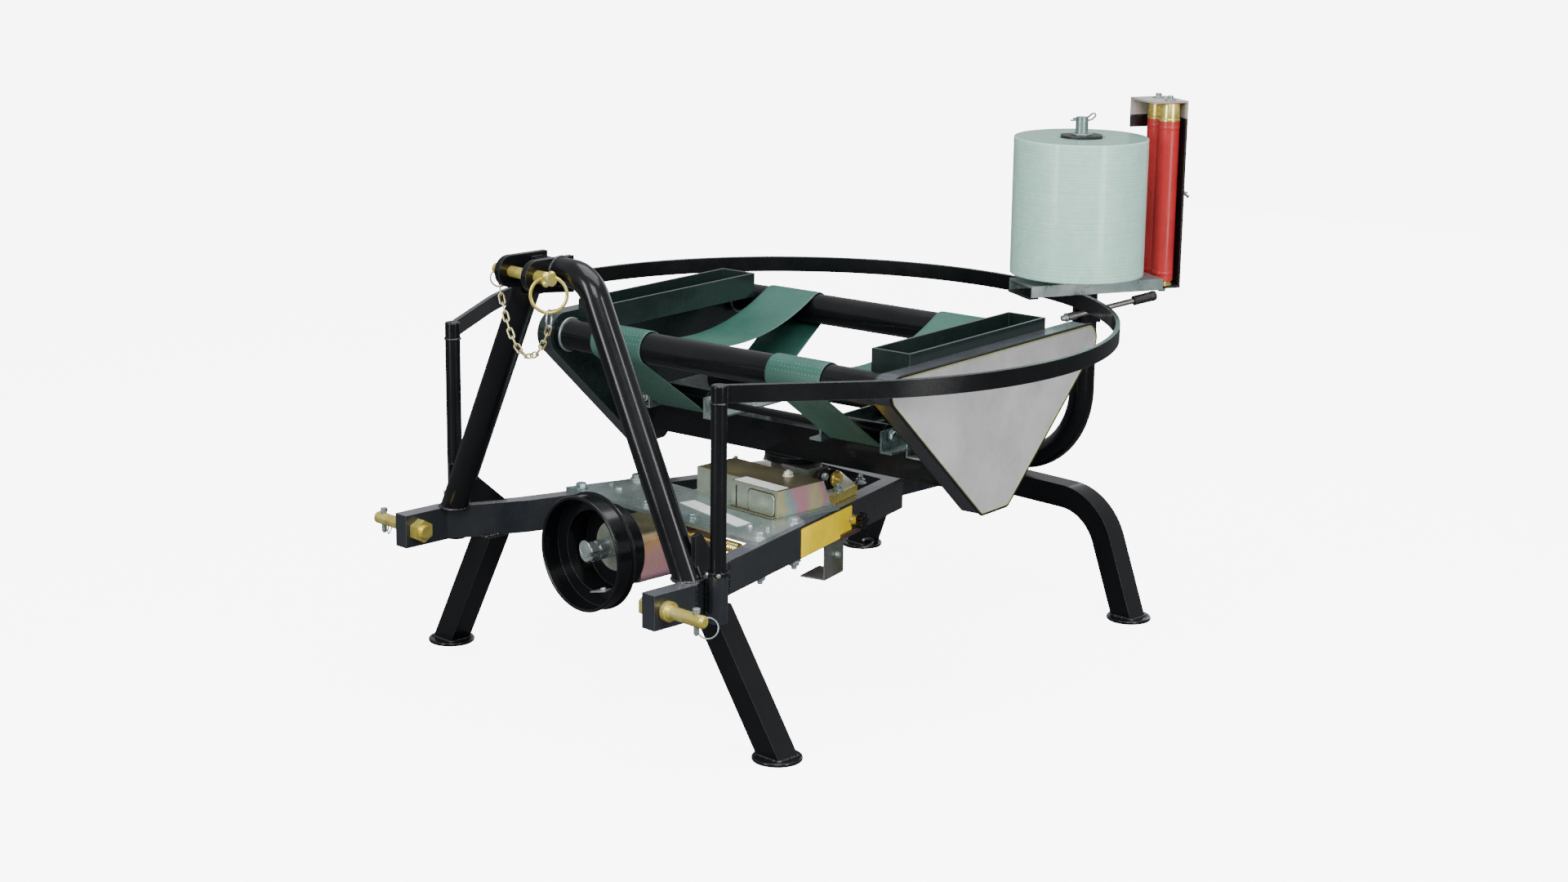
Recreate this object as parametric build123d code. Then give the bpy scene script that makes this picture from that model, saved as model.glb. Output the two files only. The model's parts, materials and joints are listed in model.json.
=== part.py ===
"""Mounted bale wrapper with a turntable, belts and a film dispenser, in millimetres.

The model is laid out from the hitch: X to the machine's right, Y rearwards from the
front of the hitch stubs, Z up from the floor.  At the end everything is moved along Y
so that the origin lies on the floor under the middle of the machine.
"""
from build123d import *
from math import acos, asinh, atan2, atanh, cos, cosh, degrees, hypot, radians, sin, sinh, sqrt
import os

# Hitch and beams
hitch_span = 683.0          # over the outer faces of the two stubs
beam_wall = 30.0            # beam width, seen from above
beam_height = 60.0
beam_bottom = 242.0         # underside of the beams above the floor
stub_length = 93.0
knuckle_inset = 62.5        # how far the knuckle draws the beam in
knuckle_end = 228.0
beam_rear_half = 100.0      # from the middle to the outer face at the rear corner
beam_past_table = 186.0     # from the turntable's axis to the beams' rear end
beam_top = beam_bottom + beam_height
hitch_half = hitch_span / 2
cross_depth = 40.0          # of the cross member between the beams' ends
spine_width = 80.0
spine_past_rail = 24.0

# Hitch pins
pin_radius = 11.0
pin_reach = 90.0            # past the outer face of the stub
pin_setback = 27.0          # behind the front of the stub
pin_height = beam_bottom + beam_height / 2
pin_nut_flats = 36.0
pin_nut_thickness = 18.0
pin_collar_radius = 17.0
pin_collar_length = 10.0
linch_hole = 10.5           # across
linch_inset = 20.0          # from the pin's tip
pin_chamfer = 4.0
pin_tail = 6.0              # past the nut

# A-frame
mast_tube = 24.0            # outer radius
mast_foot_inset = 29.0      # of its middle from the beam's outer face
mast_foot_y = 105.0
mast_top_behind = 48.0      # behind and above the top pin
mast_top_above = 4.0
mast_bend_x = 112.0
mast_bend_radius = 56.0
ear_gap = 56.0
ear_thickness = 12.0
ear_radius = 27.0
ear_length = 78.0           # behind the top pin
ear_rear_drop = 8.0         # its underside slopes down this far towards the back
spacer_length = 24.0        # block between the ears
spacer_height = 40.0
spacer_behind = 44.0        # its front, behind the top pin
top_pin_radius = 9.5
top_pin_y = 16.0
top_pin_z = 779.0
top_pin_overhang = 28.0     # past the left ear
head_radius = 11.0          # top pin's cast head, with four lobes round it
head_length = 36.0
lobe_radius = 7.0
lobe_reach = 8.5
gusset_reach = 82.0         # behind the tube, along the beam
gusset_rise = 76.0
gusset_thickness = 8.0
ring_radius = 30.0          # handle ring through the head
ring_wire = 3.0
ring_turn = -38.0
ring_rise = 4.0             # its hole above the pin's axis
ring_inset = 9.0            # its hole from the head's outer end
ring_clearance = 0.3
keeper_radius = 15.0        # thin split rings at the chain's two ends
keeper_wire = 1.5
keeper_inset = 8.0          # cross hole from the pin's left end
keeper_turn = 33.0          # how the ring on the handle ring is turned
link_wire = 1.5
link_pitch = 15.0
link_width = 8.6            # between the wire's centre lines
link_gap = 0.6
link_roll = -52.0           # of every other link about the chain's line
chain_links = 15

# Legs and feet
leg_tube = 45.0
leg_top_y = 174.0
leg_splay = 144.0           # outwards and rearwards from top to foot
leg_trail = 18.0
foot_radius = 43.0
foot_thickness = 7.0
foot_edge = 2.8
rear_leg_inset = 40.0       # from the spine's rear end
rear_leg_foot_x = 357.0
rear_leg_bend_x = 272.0
rear_leg_bend_radius = 110.0

# Guard rail and its posts
rail_ahead = 5.0            # its middle, in front of the turntable's axis
rail_room = 39.15           # from the turning table's widest reach to the rail's middle line
rail_run = 231.0            # straight from each post to the round part
rail_height = 30.0
rail_thickness = 8.0
rail_top = 630.0
post_radius = 13.5
post_out = 3.5              # outside the hitch stubs' outer faces
post_below = 12.0           # under the beam
post_edge = 3.0
socket_wall = 3.5
socket_clearance = 0.3
socket_height = 80.0
lug_thickness = 20.0

# Power take-off guard and shaft
pto_drop = 31.0             # of the shaft's axis under the beams' top
bell_front = 139.0
bell_radius = 101.0
bell_depth = 34.0
neck_radius = 76.0
neck_rear = 220.0           # seated on the gearbox's front face
guard_sheet = 3.0
boss_clearance = 1.0
rim_radius = 3.5
shaft_radius = 17.5
shaft_front = 150.0
spline_count = 6
spline_root = 14.6
spline_gap = 8.2            # between two splines
spline_length = 44.0
shaft_chamfer = 2.5
groove_radius = 15.0        # groove for the yoke's locking balls
groove_inset = 20.0
groove_width = 7.0
running_gap = 0.3           # between faces that turn on each other

# Drive between the beams
gearbox_rear = 398.0
gearbox_half_width = 66.0
gearbox_below = 57.0        # under the shaft's axis
boss_radius = 44.0
boss_length = 6.0
gearbox_corner = 14.0
drive_shaft_radius = 16.0
plate_thickness = 8.0
plate_length = 160.0
plate_lap = 27.0            # how far the plate reaches under the cover's front
cover_half_width = 115.0
cover_centre_x = 50.0
cover_length = 137.0
cover_gap = 4.0             # in front of the guard plate
cover_step_x = 48.0         # left of here the front is set back
cover_step = 22.0
cover_slope = 20.0          # the rear face leans forward this far at its top
cover_height = 48.0
cover_sheet = 2.0
tongue_margin = 14.0
hub_plate_ahead = 70.0      # in front of the turntable's axis
hub_plate_side = 103.0      # from the front to where its rear corners are cut off
hub_plate_length = 152.0
hub_plate_rear_half = 36.0
hub_plate_rise = 17.0       # of its top above the beams
hub_plate_sheet = 5.0
hub_plate_inset = 21.0      # from the beams' outer faces
hub_radius = 48.0
hub_flange_radius = 60.0
hub_flange = 12.0
hub_gap = 0.3
hub_below = 40.0            # how far the housing reaches under the shaft's line
guard_plate_gap = 4.0       # upright guard in front of the hub plate
guard_plate_left = 32.0
guard_plate_slope = 48.0
guard_plate_right = 100.0
guard_plate_return = 56.0
guard_plate_below = 6.0      # its top under the turning table's beam
guard_plate_sheet = 3.0
cheek_x = 106.0             # bracket that holds the brake wheel
cheek_behind = 6.0          # behind the hub plate's front
cheek_length = 62.0
cheek_height = 36.0
cheek_sheet = 6.0
wheel_behind = 50.0         # behind the bracket's front
wheel_radius = 15.0
wheel_width = 9.0
wheel_bolt = 5.0

# Turntable
table_y = 670.0
table_turn = 7.0            # how far it stands turned in the picture
table_beam_width = 80.0
table_beam_height = 60.0
table_rise = 64.0           # of the table's beam above the main beams
right_face = 400.0          # inner faces of the side plates
left_face = 352.0
side_sheet = 5.0
case_past_roller = 44.0     # the right plate's top corners, past and above the rollers' axes
case_above_roller = 12.0
case_corner = 28.0
case_foot_half = 36.0
pan_corner = 40.0           # round the rollers' ends on the left plate
pan_foot_half = 30.0
foot_corner = 14.0
foot_below = 22.0           # both plates' foot corners, under the table's beam
pan_depth = 27.0
case_depth = 35.0
case_sheet = 3.0
face_sheet = 2.0
trough_width = 80.0
trough_above = 60.0         # its top edge above the rollers' axes
trough_depth = 46.0
trough_gap = 9.0            # from its end to the roller
trough_sheet = 4.0

# Rollers and belts
roller_radius = 29.0
roller_y = 250.0
roller_rise = 154.0         # of the axes above the table's beam
roller_gap = 1.5
axle_radius = 10.0
axle_clearance = 0.06
idler_radius = 20.0
idler_axle = 7.0
idler_y = 82.0
belt_gap = 11.0             # from the left trough to the belt
belt_width = 118.0
belt_thickness = 3.0
belt_clearance = 0.5
belt_sag = 62.0
belt_over_beam = 4.0
cradle_sheet = 4.0
cradle_width = 26.0
cradle_past_idler = 26.0
cradle_gap = 6.0
cradle_rise = 12.0          # of its webs past the idlers' axis
idler_play = 1.0            # between an idler's drum and the cradle

# Film dispenser
film_bearing = 69.79        # of the roll, seen from the rail's middle
film_past_rail = 7.5
film_radius = 128.0
film_height = 262.0
turner_radius = 62.0        # disc that the roll stands on
turner_height = 11.7
base_sheet = 4.0
base_width = 98.0
base_lip = 22.0
base_turn = 66.0            # direction of the base from the roll to the rollers
base_back = 118.0
base_room = 5.0             # from the base's front end to the stretch rollers
spindle_radius = 12.0
spindle_overhang = 34.0
film_corner = 2.0
core_radius = 46.0          # recess in the roll's top, over its core
core_depth = 5.0
cap_radius = 40.0
cap_flat = 31.0             # from the axis to each flat of the cap
cap_thickness = 9.0
stretch_radius = 20.0
stretch_reach = 188.0
stretch_pitch = 46.0
stretch_length = 310.0
foot_collar_radius = 16.5
foot_collar_length = 10.0
head_collar_radius = 18.5
head_collar_length = 35.0
frame_sheet = 4.0
frame_front = 18.0          # past the rollers' axes, across the base
frame_rear = 28.0
frame_clear = 6.0           # between the rollers and the upright plate
frame_lap = 60.0            # of the lower plate under the base
frame_hood = 46.0           # from the rollers' axes to the top plate's inner edge
frame_hood_drop = 58.0
hook_radius = 6.0           # notch in the top plate
arm_tube = 24.0
arm_straight = 12.8         # from the spine's side to where its bend starts
arm_gap = 2.0               # between the arm and the guard rail
strap_half = 46.0           # flat bars that hold the base on the guard rail
strap_width = 20.0
strap_sheet = 4.0
strap_inset = 6.0           # from the base's back end to the first strap's middle
strap_pitch = 72.0
block_size = (34.0, 32.0, 34.0)     # lever bracket on the arm
block_below = 42.0          # its middle under the base
lever_start = (-34.0, -37.0, -44.0)     # along and across the base, and from its underside
lever_end = (150.0, -43.0, -11.0)
lever_radius = 5.5
grip_length = 46.0
grip_radius = 8.5
pivot_radius = 8.0
pivot_length = 16.0

# Small pieces on the right beam
tray_y = 592.0              # folded bracket under the beam
tray_length = 72.0
tray_width = 50.0
tray_depth = 64.0
tray_sheet = 3.0
latch_y = 658.0             # spring plunger through the beam's outer face
latch_above = 26.0          # the beam's underside
latch_radius = 9.0
latch_reach = 14.0
knob_radius = 11.0
knob_length = 12.0
knob_lobes = 5
lobe_size = 5.0
strip_y = 645.0             # flat brake strip along the beam's lower edge
strip_length = 70.0
strip_height = 9.0
strip_depth = 6.0

# What is worked out from the sizes above
knuckle_outer = hitch_half - knuckle_inset
beam_rear = table_y + beam_past_table
beam_slope = (knuckle_outer - beam_rear_half) / (beam_rear - knuckle_end)
table_beam_bottom = beam_top + table_rise
table_beam_top = table_beam_bottom + table_beam_height
roller_z = table_beam_top + roller_rise
idler_z = table_beam_top + belt_over_beam + belt_thickness + belt_clearance + idler_radius
plate_top = beam_top + plate_thickness
mast_top_y = top_pin_y + mast_top_behind
mast_top_z = top_pin_z + mast_top_above
pto_height = beam_top - pto_drop
gearbox_bottom = pto_height - gearbox_below
gearbox_front = neck_rear - boss_length
hub_top = beam_top + hub_plate_rise
hub_plate_front = table_y - hub_plate_ahead
hub_plate_corner = hub_plate_front + hub_plate_side
hub_plate_rear = hub_plate_front + hub_plate_length
guard_plate_y = hub_plate_front - guard_plate_gap
guard_plate_top = table_beam_bottom - guard_plate_below
cheek_front = hub_plate_front + cheek_behind
wheel_y = cheek_front + wheel_behind
cover_rear = guard_plate_y - cover_gap
cover_front = cover_rear - cover_length
plate_rear = cover_front + plate_lap
plate_front = plate_rear - plate_length
trough_top = roller_z + trough_above
trough_half = roller_y - roller_radius - trough_gap
belt_centre = left_face - trough_width - belt_gap - belt_width / 2
cradle_half = idler_y + cradle_past_idler
foot_z = table_beam_bottom - foot_below
# y, z and radius of each plate's corners, mirrored in y
case_top = (roller_y + case_past_roller, roller_z + case_above_roller, case_corner)
case_foot = (case_foot_half, foot_z, foot_corner)
pan_top = (roller_y, roller_z, pan_corner)
pan_foot = (pan_foot_half, foot_z, foot_corner)
table_reach = hypot(right_face + side_sheet + case_depth + face_sheet, case_top[0] + case_corner)
rail_centre_y = table_y - rail_ahead
rail_radius = table_reach + rail_room
post_x = hitch_half + post_out
post_y = rail_centre_y - sqrt(rail_radius ** 2 + rail_run ** 2 - post_x ** 2)
post_bottom = beam_bottom - post_below
spine_rear = rail_centre_y + rail_radius + spine_past_rail
rear_leg_y = spine_rear - rear_leg_inset
base_bottom = rail_top
base_top = base_bottom + base_lip
base_front = stretch_reach - stretch_radius - base_room
film_base = base_top + turner_height + running_gap
film_x = (rail_radius + film_past_rail) * cos(radians(film_bearing))
film_y = rail_centre_y + (rail_radius + film_past_rail) * sin(radians(film_bearing))
strap_first = strap_inset - base_back
roller_foot = base_bottom + running_gap
beam_angle = degrees(atan2(knuckle_outer - beam_rear_half, beam_rear - knuckle_end))
arm_reach = rail_radius + rail_thickness / 2 + arm_gap + arm_tube
arm_x = arm_reach * cos(radians(film_bearing))
arm_y = rail_centre_y + arm_reach * sin(radians(film_bearing))
arm_height = pin_height
arm_bend_radius = arm_x - spine_width / 2 - arm_straight
arm_along = (arm_x - film_x) * cos(radians(base_turn)) + (arm_y - film_y) * sin(radians(base_turn))
face_of = {-1: left_face, 1: right_face}
corners_of = {-1: (pan_top, pan_foot), 1: (case_top, case_foot)}
SIDES = (("left", -1), ("right", 1))


def beam_outer(y):
    """Outer face of the main beam at a distance behind the hitch."""
    if y <= stub_length:
        return hitch_half
    if y <= knuckle_end:
        share = (y - stub_length) / (knuckle_end - stub_length)
        return hitch_half - knuckle_inset * share
    return knuckle_outer - beam_slope * (y - knuckle_end)


mast_foot_x = beam_outer(mast_foot_y) - mast_foot_inset
leg_top_x = beam_outer(leg_top_y) - beam_wall / 2
leg_foot_x = leg_top_x + leg_splay
leg_foot_y = leg_top_y + leg_trail


def level_cut(x, y, z, size, direction):
    """A block above (1) or below (-1) a height, which cuts a slanting end level."""
    return Pos(x, y, z + direction * size / 2) * Box(2 * size, 2 * size, size)


def extrude_plan(points, bottom, height):
    """A flat outline seen from above, raised from its bottom."""
    outline = make_face(Polyline(*points, close=True))
    return Pos(0, 0, bottom) * extrude(outline, amount=height, dir=(0, 0, 1))


def upright_plate(points, x_near, thickness):
    """An outline of (y, z) points, thickened along X from x_near."""
    wire = Polyline(*[(x_near, y, z) for y, z in points], close=True)
    return extrude(make_face(wire), amount=thickness, dir=(1, 0, 0))


def rod(start, end, radius):
    """A round bar between two points."""
    axis = Vector(*end) - Vector(*start)
    plane = Plane(origin=start, z_dir=axis.normalized())
    return extrude(plane * Circle(radius), amount=axis.length)


def swept_tube(points, radii, radius):
    """A round tube through points, with a bend radius at each inner one."""
    path = FilletPolyline(*points, radius=radii)
    section = Plane(origin=path @ 0, z_dir=path % 0) * Circle(radius)
    return sweep(section, path=path)


def on_table(piece):
    """From the turntable's own directions to the machine's."""
    return Pos(0, table_y, 0) * Rot(0, 0, table_turn) * piece


def mirrored(piece):
    return mirror(piece, about=Plane.YZ)


def hexagon(flats, thickness):
    return extrude(RegularPolygon(flats / 2, 6, major_radius=False), amount=thickness)


# Beams, spine and cross member

def main_beam():
    """Right beam: hitch stub, knuckle and the run to the rear corner."""
    outer = [(hitch_half, 0), (hitch_half, stub_length), (knuckle_outer, knuckle_end), (beam_rear_half, beam_rear)]
    inner = [(x - beam_wall, y) for x, y in reversed(outer)]
    beam = extrude_plan(outer + inner, beam_bottom, beam_height)
    pin_hole = Pos(hitch_half, pin_setback, pin_height) * Rot(0, 90, 0) * Cylinder(pin_radius, 3 * beam_wall)
    beam -= pin_hole
    lug = Pos((post_x + beam_outer(post_y)) / 2 - beam_wall / 4, post_y, pin_height)
    beam += lug * Box(post_x - beam_outer(post_y) + beam_wall / 2, lug_thickness, beam_height)
    sleeve = Pos(post_x, post_y, post_bottom + socket_height / 2)
    beam += sleeve * Cylinder(post_radius + socket_wall, socket_height)
    beam -= sleeve * Cylinder(post_radius + socket_clearance, socket_height)
    return beam


def rear_frame():
    """Cross member between the beams' ends, with the spine behind it."""
    inner_rear = beam_rear_half - beam_wall
    front = beam_rear - cross_depth
    inner_front = inner_rear + beam_slope * cross_depth
    cross = extrude_plan(
        [(-inner_front, front), (inner_front, front), (inner_rear, beam_rear), (-inner_rear, beam_rear)],
        beam_bottom, beam_height)
    spine_length = spine_rear - beam_rear
    spine = Pos(0, beam_rear + spine_length / 2, beam_bottom + beam_height / 2)
    return cross + spine * Box(spine_width, spine_length, beam_height)


def lower_pin():
    """Right lower link pin: shank, collar on the outer face, nut on the inner."""
    start = hitch_half - beam_wall - pin_nut_thickness - pin_tail
    tip_start = hitch_half + pin_reach - pin_chamfer
    shank = rod((start, pin_setback, pin_height), (tip_start, pin_setback, pin_height), pin_radius)
    tip = Pos(tip_start + pin_chamfer / 2, pin_setback, pin_height) * Rot(0, 90, 0)
    tip = tip * Cone(pin_radius, pin_radius - pin_chamfer, pin_chamfer)
    collar = rod((hitch_half, pin_setback, pin_height),
                 (hitch_half + pin_collar_length, pin_setback, pin_height), pin_collar_radius)
    nut = Pos(hitch_half - beam_wall - pin_nut_thickness, pin_setback, pin_height) * Rot(0, 90, 0)
    pin = shank + tip + collar + nut * hexagon(pin_nut_flats, pin_nut_thickness)
    linch = Pos(hitch_half + pin_reach - linch_inset, pin_setback, pin_height) * Cylinder(linch_hole / 2, 4 * pin_radius)
    return pin - linch


# A-frame

def ears():
    """Two rounded plates that take the top link, joined behind by a spacer."""
    both = None
    ear_rear = top_pin_y + ear_length
    for side in (-1, 1):
        x_near = side * (ear_gap / 2 + ear_thickness / 2) - ear_thickness / 2
        nose = Pos(x_near + ear_thickness / 2, top_pin_y, top_pin_z) * Rot(0, 90, 0) * Cylinder(ear_radius, ear_thickness)
        back = upright_plate(
            [(top_pin_y, top_pin_z - ear_radius), (ear_rear, top_pin_z - ear_radius - ear_rear_drop),
             (ear_rear, top_pin_z + ear_radius), (top_pin_y, top_pin_z + ear_radius)], x_near, ear_thickness)
        ear = nose + back
        both = ear if both is None else both + ear
    spacer = Pos(0, top_pin_y + spacer_behind + spacer_length / 2, top_pin_z) * Box(ear_gap, spacer_length, spacer_height)
    hole = Pos(0, top_pin_y, top_pin_z) * Rot(0, 90, 0) * Cylinder(top_pin_radius, ear_gap + 4 * ear_thickness)
    return both + spacer - hole


def handle_ring(wire):
    """The ring through the pin's head, with any wire radius."""
    hole_x = ear_gap / 2 + ear_thickness + head_length - ring_inset
    centre = Pos(hole_x, top_pin_y, top_pin_z + ring_rise - ring_radius)
    return centre * Rot(0, 0, ring_turn) * Rot(0, 90, 0) * Torus(ring_radius, wire)


def top_pin():
    """Top link pin with a lobed head, and a cross hole at each end."""
    right = ear_gap / 2 + ear_thickness
    left = right + top_pin_overhang
    pin = rod((-left, top_pin_y, top_pin_z), (right, top_pin_y, top_pin_z), top_pin_radius)
    pin += rod((right, top_pin_y, top_pin_z), (right + head_length, top_pin_y, top_pin_z), head_radius)
    for quarter in range(4):
        turn = radians(90 * quarter + 45)
        y = top_pin_y + lobe_reach * cos(turn)
        z = top_pin_z + lobe_reach * sin(turn)
        pin += Pos(right + head_length - ring_inset, y, z) * Sphere(lobe_radius)
    pin -= hung_ring(keeper_inset - left, top_pin_z, ring_turn, keeper_wire + ring_clearance)
    return pin - handle_ring(ring_wire + ring_clearance)


def hung_ring(x, top, turn, wire):
    """Split ring hung with its wire's highest point in the top pin's plane."""
    return Pos(x, top_pin_y, top - keeper_radius) * Rot(0, 0, turn) * Rot(0, 90, 0) * Torus(keeper_radius, wire)


def hanging_points(start, end, count):
    """Joints of a chain of equal links that hangs freely between two points."""
    run = hypot(end.X - start.X, end.Y - start.Y)
    drop = end.Z - start.Z
    total = count * link_pitch
    ratio = sqrt(total ** 2 - drop ** 2) / run
    bend = ratio
    for _ in range(60):
        bend = asinh(ratio * bend)
    scale = run / (2 * bend)
    low = run / 2 - scale * atanh(drop / total)
    points = []
    for step in range(count + 1):
        along = low + scale * asinh(sinh(-low / scale) + step * link_pitch / scale)
        height = scale * (cosh((along - low) / scale) - cosh(low / scale))
        share = along / run
        points.append(start + Vector((end.X - start.X) * share, (end.Y - start.Y) * share, height))
    return points


def chain_link(start, end, roll):
    """Oval wire link that reaches a little past two joints."""
    along = (end - start).normalized()
    middle = (start + end) / 2
    level = Vector(0, 1, 0)
    plane = Plane(origin=middle, x_dir=along, z_dir=along.cross(level)) * Rot(roll, 0, 0)
    half = (link_pitch + 2 * link_wire + link_gap - link_width) / 2
    link = None
    for side in (-1, 1):
        bow = Pos(side * half, 0, 0) * Torus(link_width / 2, link_wire)
        bow -= Pos(side * (half - link_width), 0, 0) * Box(2 * link_width, 2 * link_width, 4 * link_wire)
        straight = Pos(0, side * link_width / 2, 0) * Rot(0, 90, 0) * Cylinder(link_wire, 2 * half)
        link = bow + straight if link is None else link + bow + straight
    return plane * link


def pin_chain():
    """Chain that keeps the top pin: two split rings with links hanging between them."""
    left_x = keeper_inset - (ear_gap / 2 + ear_thickness + top_pin_overhang)
    right_x = ear_gap / 2 + ear_thickness + head_length - ring_inset
    right_top = top_pin_z + ring_rise - 2 * ring_radius + ring_wire + keeper_wire + ring_clearance
    chain = [hung_ring(left_x, top_pin_z, ring_turn, keeper_wire), hung_ring(right_x, right_top, keeper_turn, keeper_wire)]
    below = 2 * keeper_radius - (keeper_wire + link_wire + ring_clearance) / 2
    start = Vector(left_x, top_pin_y, top_pin_z - below)
    end = Vector(right_x, top_pin_y, right_top - below)
    joints = hanging_points(start, end, chain_links)
    for place, (start, end) in enumerate(zip(joints, joints[1:])):
        chain.append(chain_link(start, end, link_roll + 90 * (place % 2)))
    return Compound(children=chain)


def mast_left():
    ear_side = ear_gap / 2 + ear_thickness
    foot = Vector(-mast_foot_x, mast_foot_y, beam_top)
    top = Vector(-ear_side + mast_tube / 2, mast_top_y, mast_top_z)
    leg = rod(foot - (top - foot).normalized() * mast_tube, top, mast_tube)
    ear_cut = Pos(0, mast_top_y, mast_top_z) * Box(2 * ear_side, 4 * mast_tube, 4 * mast_tube)
    return leg - level_cut(foot.X, foot.Y, beam_top, 2 * mast_tube, -1) - ear_cut


def mast_right():
    ear_side = ear_gap / 2 + ear_thickness
    foot = Vector(mast_foot_x, mast_foot_y, beam_top)
    bend = Vector(mast_bend_x, mast_top_y, mast_top_z)
    start = foot - (bend - foot).normalized() * mast_tube
    leg = swept_tube([start, bend, Vector(ear_side, mast_top_y, mast_top_z)], [mast_bend_radius], mast_tube)
    return leg - level_cut(foot.X, foot.Y, beam_top, 2 * mast_tube, -1)


def gusset(mast):
    """Right brace plate in the corner behind the mast's foot, along the knuckle."""
    length = mast_tube + gusset_reach
    plate = upright_plate([(0, 0), (length, 0), (mast_tube, gusset_rise), (0, gusset_rise)],
                          -gusset_thickness / 2, gusset_thickness)
    turn = degrees(atan2(knuckle_inset, knuckle_end - stub_length))
    foot = Pos(beam_outer(mast_foot_y) - beam_wall / 2, mast_foot_y, beam_top)
    return foot * Rot(0, 0, turn) * plate - mast


# Legs

def foot_disc(x, y):
    disc = Pos(x, y, foot_thickness / 2) * Cylinder(foot_radius, foot_thickness)
    return fillet(disc.edges(), radius=foot_edge)


def front_leg():
    """Right front leg, splayed outwards from under the knuckle to its foot."""
    top = Vector(leg_top_x, leg_top_y, beam_bottom)
    foot = Vector(leg_foot_x, leg_foot_y, foot_thickness)
    axis = (foot - top).normalized()
    start = top - axis * leg_tube
    plane = Plane(origin=start, x_dir=(0, 1, 0), z_dir=axis)
    leg = extrude(plane * Rectangle(leg_tube, leg_tube), amount=(foot - start).length + leg_tube)
    above = level_cut(leg_top_x, leg_top_y, beam_bottom, 2 * leg_tube, 1)
    below = level_cut(leg_foot_x, leg_foot_y, foot_thickness, 2 * leg_tube, -1)
    return leg - above - below + foot_disc(leg_foot_x, leg_foot_y)


def rear_legs():
    """One square tube bent down at both ends, under the spine, with its two feet."""
    z_axis = beam_bottom - leg_tube / 2
    points = [(-rear_leg_foot_x, rear_leg_y, 0), (-rear_leg_bend_x, rear_leg_y, z_axis),
              (rear_leg_bend_x, rear_leg_y, z_axis), (rear_leg_foot_x, rear_leg_y, 0)]
    path = FilletPolyline(*points, radius=[rear_leg_bend_radius, rear_leg_bend_radius])
    plane = Plane(origin=path @ 0, x_dir=(0, 1, 0), z_dir=path % 0)
    legs = sweep(plane * Rectangle(leg_tube, leg_tube), path=path)
    for side in (-1, 1):
        legs -= level_cut(side * rear_leg_foot_x, rear_leg_y, foot_thickness, 2 * leg_tube, -1)
        legs += foot_disc(side * rear_leg_foot_x, rear_leg_y)
    return legs


# Guard rail

def guard_rail():
    """Flat bar on edge round the turntable, on two posts beside the hitch."""
    reach = hypot(post_x, rail_centre_y - post_y)
    swing = acos(rail_radius / reach)
    to_post = atan2(post_y - rail_centre_y, post_x)
    touch = to_post + swing
    start = (post_x, post_y)
    meet = (rail_radius * cos(touch), rail_centre_y + rail_radius * sin(touch))
    rear = (0, rail_centre_y + rail_radius)
    line_right = Line(start, meet)
    arc = ThreePointArc(meet, rear, (-meet[0], meet[1]))
    line_left = Line((-meet[0], meet[1]), (-start[0], start[1]))
    path = Wire([line_right.edge(), arc.edge(), line_left.edge()])
    path = Pos(0, 0, rail_top - rail_height / 2) * path
    plane = Plane(origin=path @ 0, x_dir=(0, 0, 1), z_dir=path % 0)
    return sweep(plane * Rectangle(rail_height, rail_thickness), path=path)


def guard_post():
    post = rod((post_x, post_y, post_bottom), (post_x, post_y, rail_top), post_radius)
    return fillet(post.edges().group_by(Axis.Z)[-1], radius=post_edge)


# Power take-off

def guard_ring(radius, y_front, y_rear):
    """Open drum along Y."""
    length = y_rear - y_front
    drum = Pos(0, (y_front + y_rear) / 2, pto_height) * Rot(90, 0, 0)
    return drum * (Cylinder(radius, length) - Cylinder(radius - guard_sheet, length))


def pto_guard():
    """Stepped bell: wide mouth with a rolled rim, a narrower neck and a seat on the gearbox."""
    bell_rear = bell_front + bell_depth
    guard = guard_ring(bell_radius, bell_front, bell_rear)
    step = Pos(0, bell_rear, pto_height) * Rot(90, 0, 0)
    guard += step * (Cylinder(bell_radius + rim_radius, guard_sheet) - Cylinder(neck_radius - guard_sheet, guard_sheet))
    guard += guard_ring(neck_radius, bell_rear, neck_rear)
    seat = Pos(0, neck_rear - guard_sheet / 2, pto_height) * Rot(90, 0, 0)
    guard += seat * (Cylinder(neck_radius, guard_sheet) - Cylinder(boss_radius + boss_clearance, guard_sheet))
    rim = Pos(0, bell_front, pto_height) * Rot(90, 0, 0)
    guard += rim * Torus(bell_radius - guard_sheet / 2, rim_radius)
    return guard


def pto_shaft():
    """Input shaft with splines and a locking groove at its free end."""
    length = gearbox_front - running_gap - shaft_front
    shaft = Cylinder(shaft_radius, length)
    shaft = chamfer(shaft.edges().sort_by(Axis.Z)[-1], length=shaft_chamfer)
    tip = length / 2
    for place in range(spline_count):
        gap = Pos(spline_root + shaft_radius / 2, 0, tip) * Box(shaft_radius, spline_gap, 2 * spline_length)
        shaft -= Rot(0, 0, 360 / spline_count * place) * gap
    groove = Cylinder(2 * shaft_radius, groove_width) - Cylinder(groove_radius, groove_width)
    shaft -= Pos(0, 0, tip - groove_inset) * groove
    return Pos(0, shaft_front + length / 2, pto_height) * Rot(90, 0, 0) * shaft


def gearbox():
    """Input gearbox, a plain cast block with a bearing boss at the front."""
    length = gearbox_rear - neck_rear
    height = beam_top - gearbox_bottom
    centre = Pos(0, neck_rear + length / 2, gearbox_bottom + height / 2)
    block = centre * Box(2 * gearbox_half_width, length, height)
    block = fillet(block.edges().filter_by(Axis.Y), radius=gearbox_corner)
    return block + rod((0, gearbox_front, pto_height), (0, neck_rear + boss_length, pto_height), boss_radius)


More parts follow.
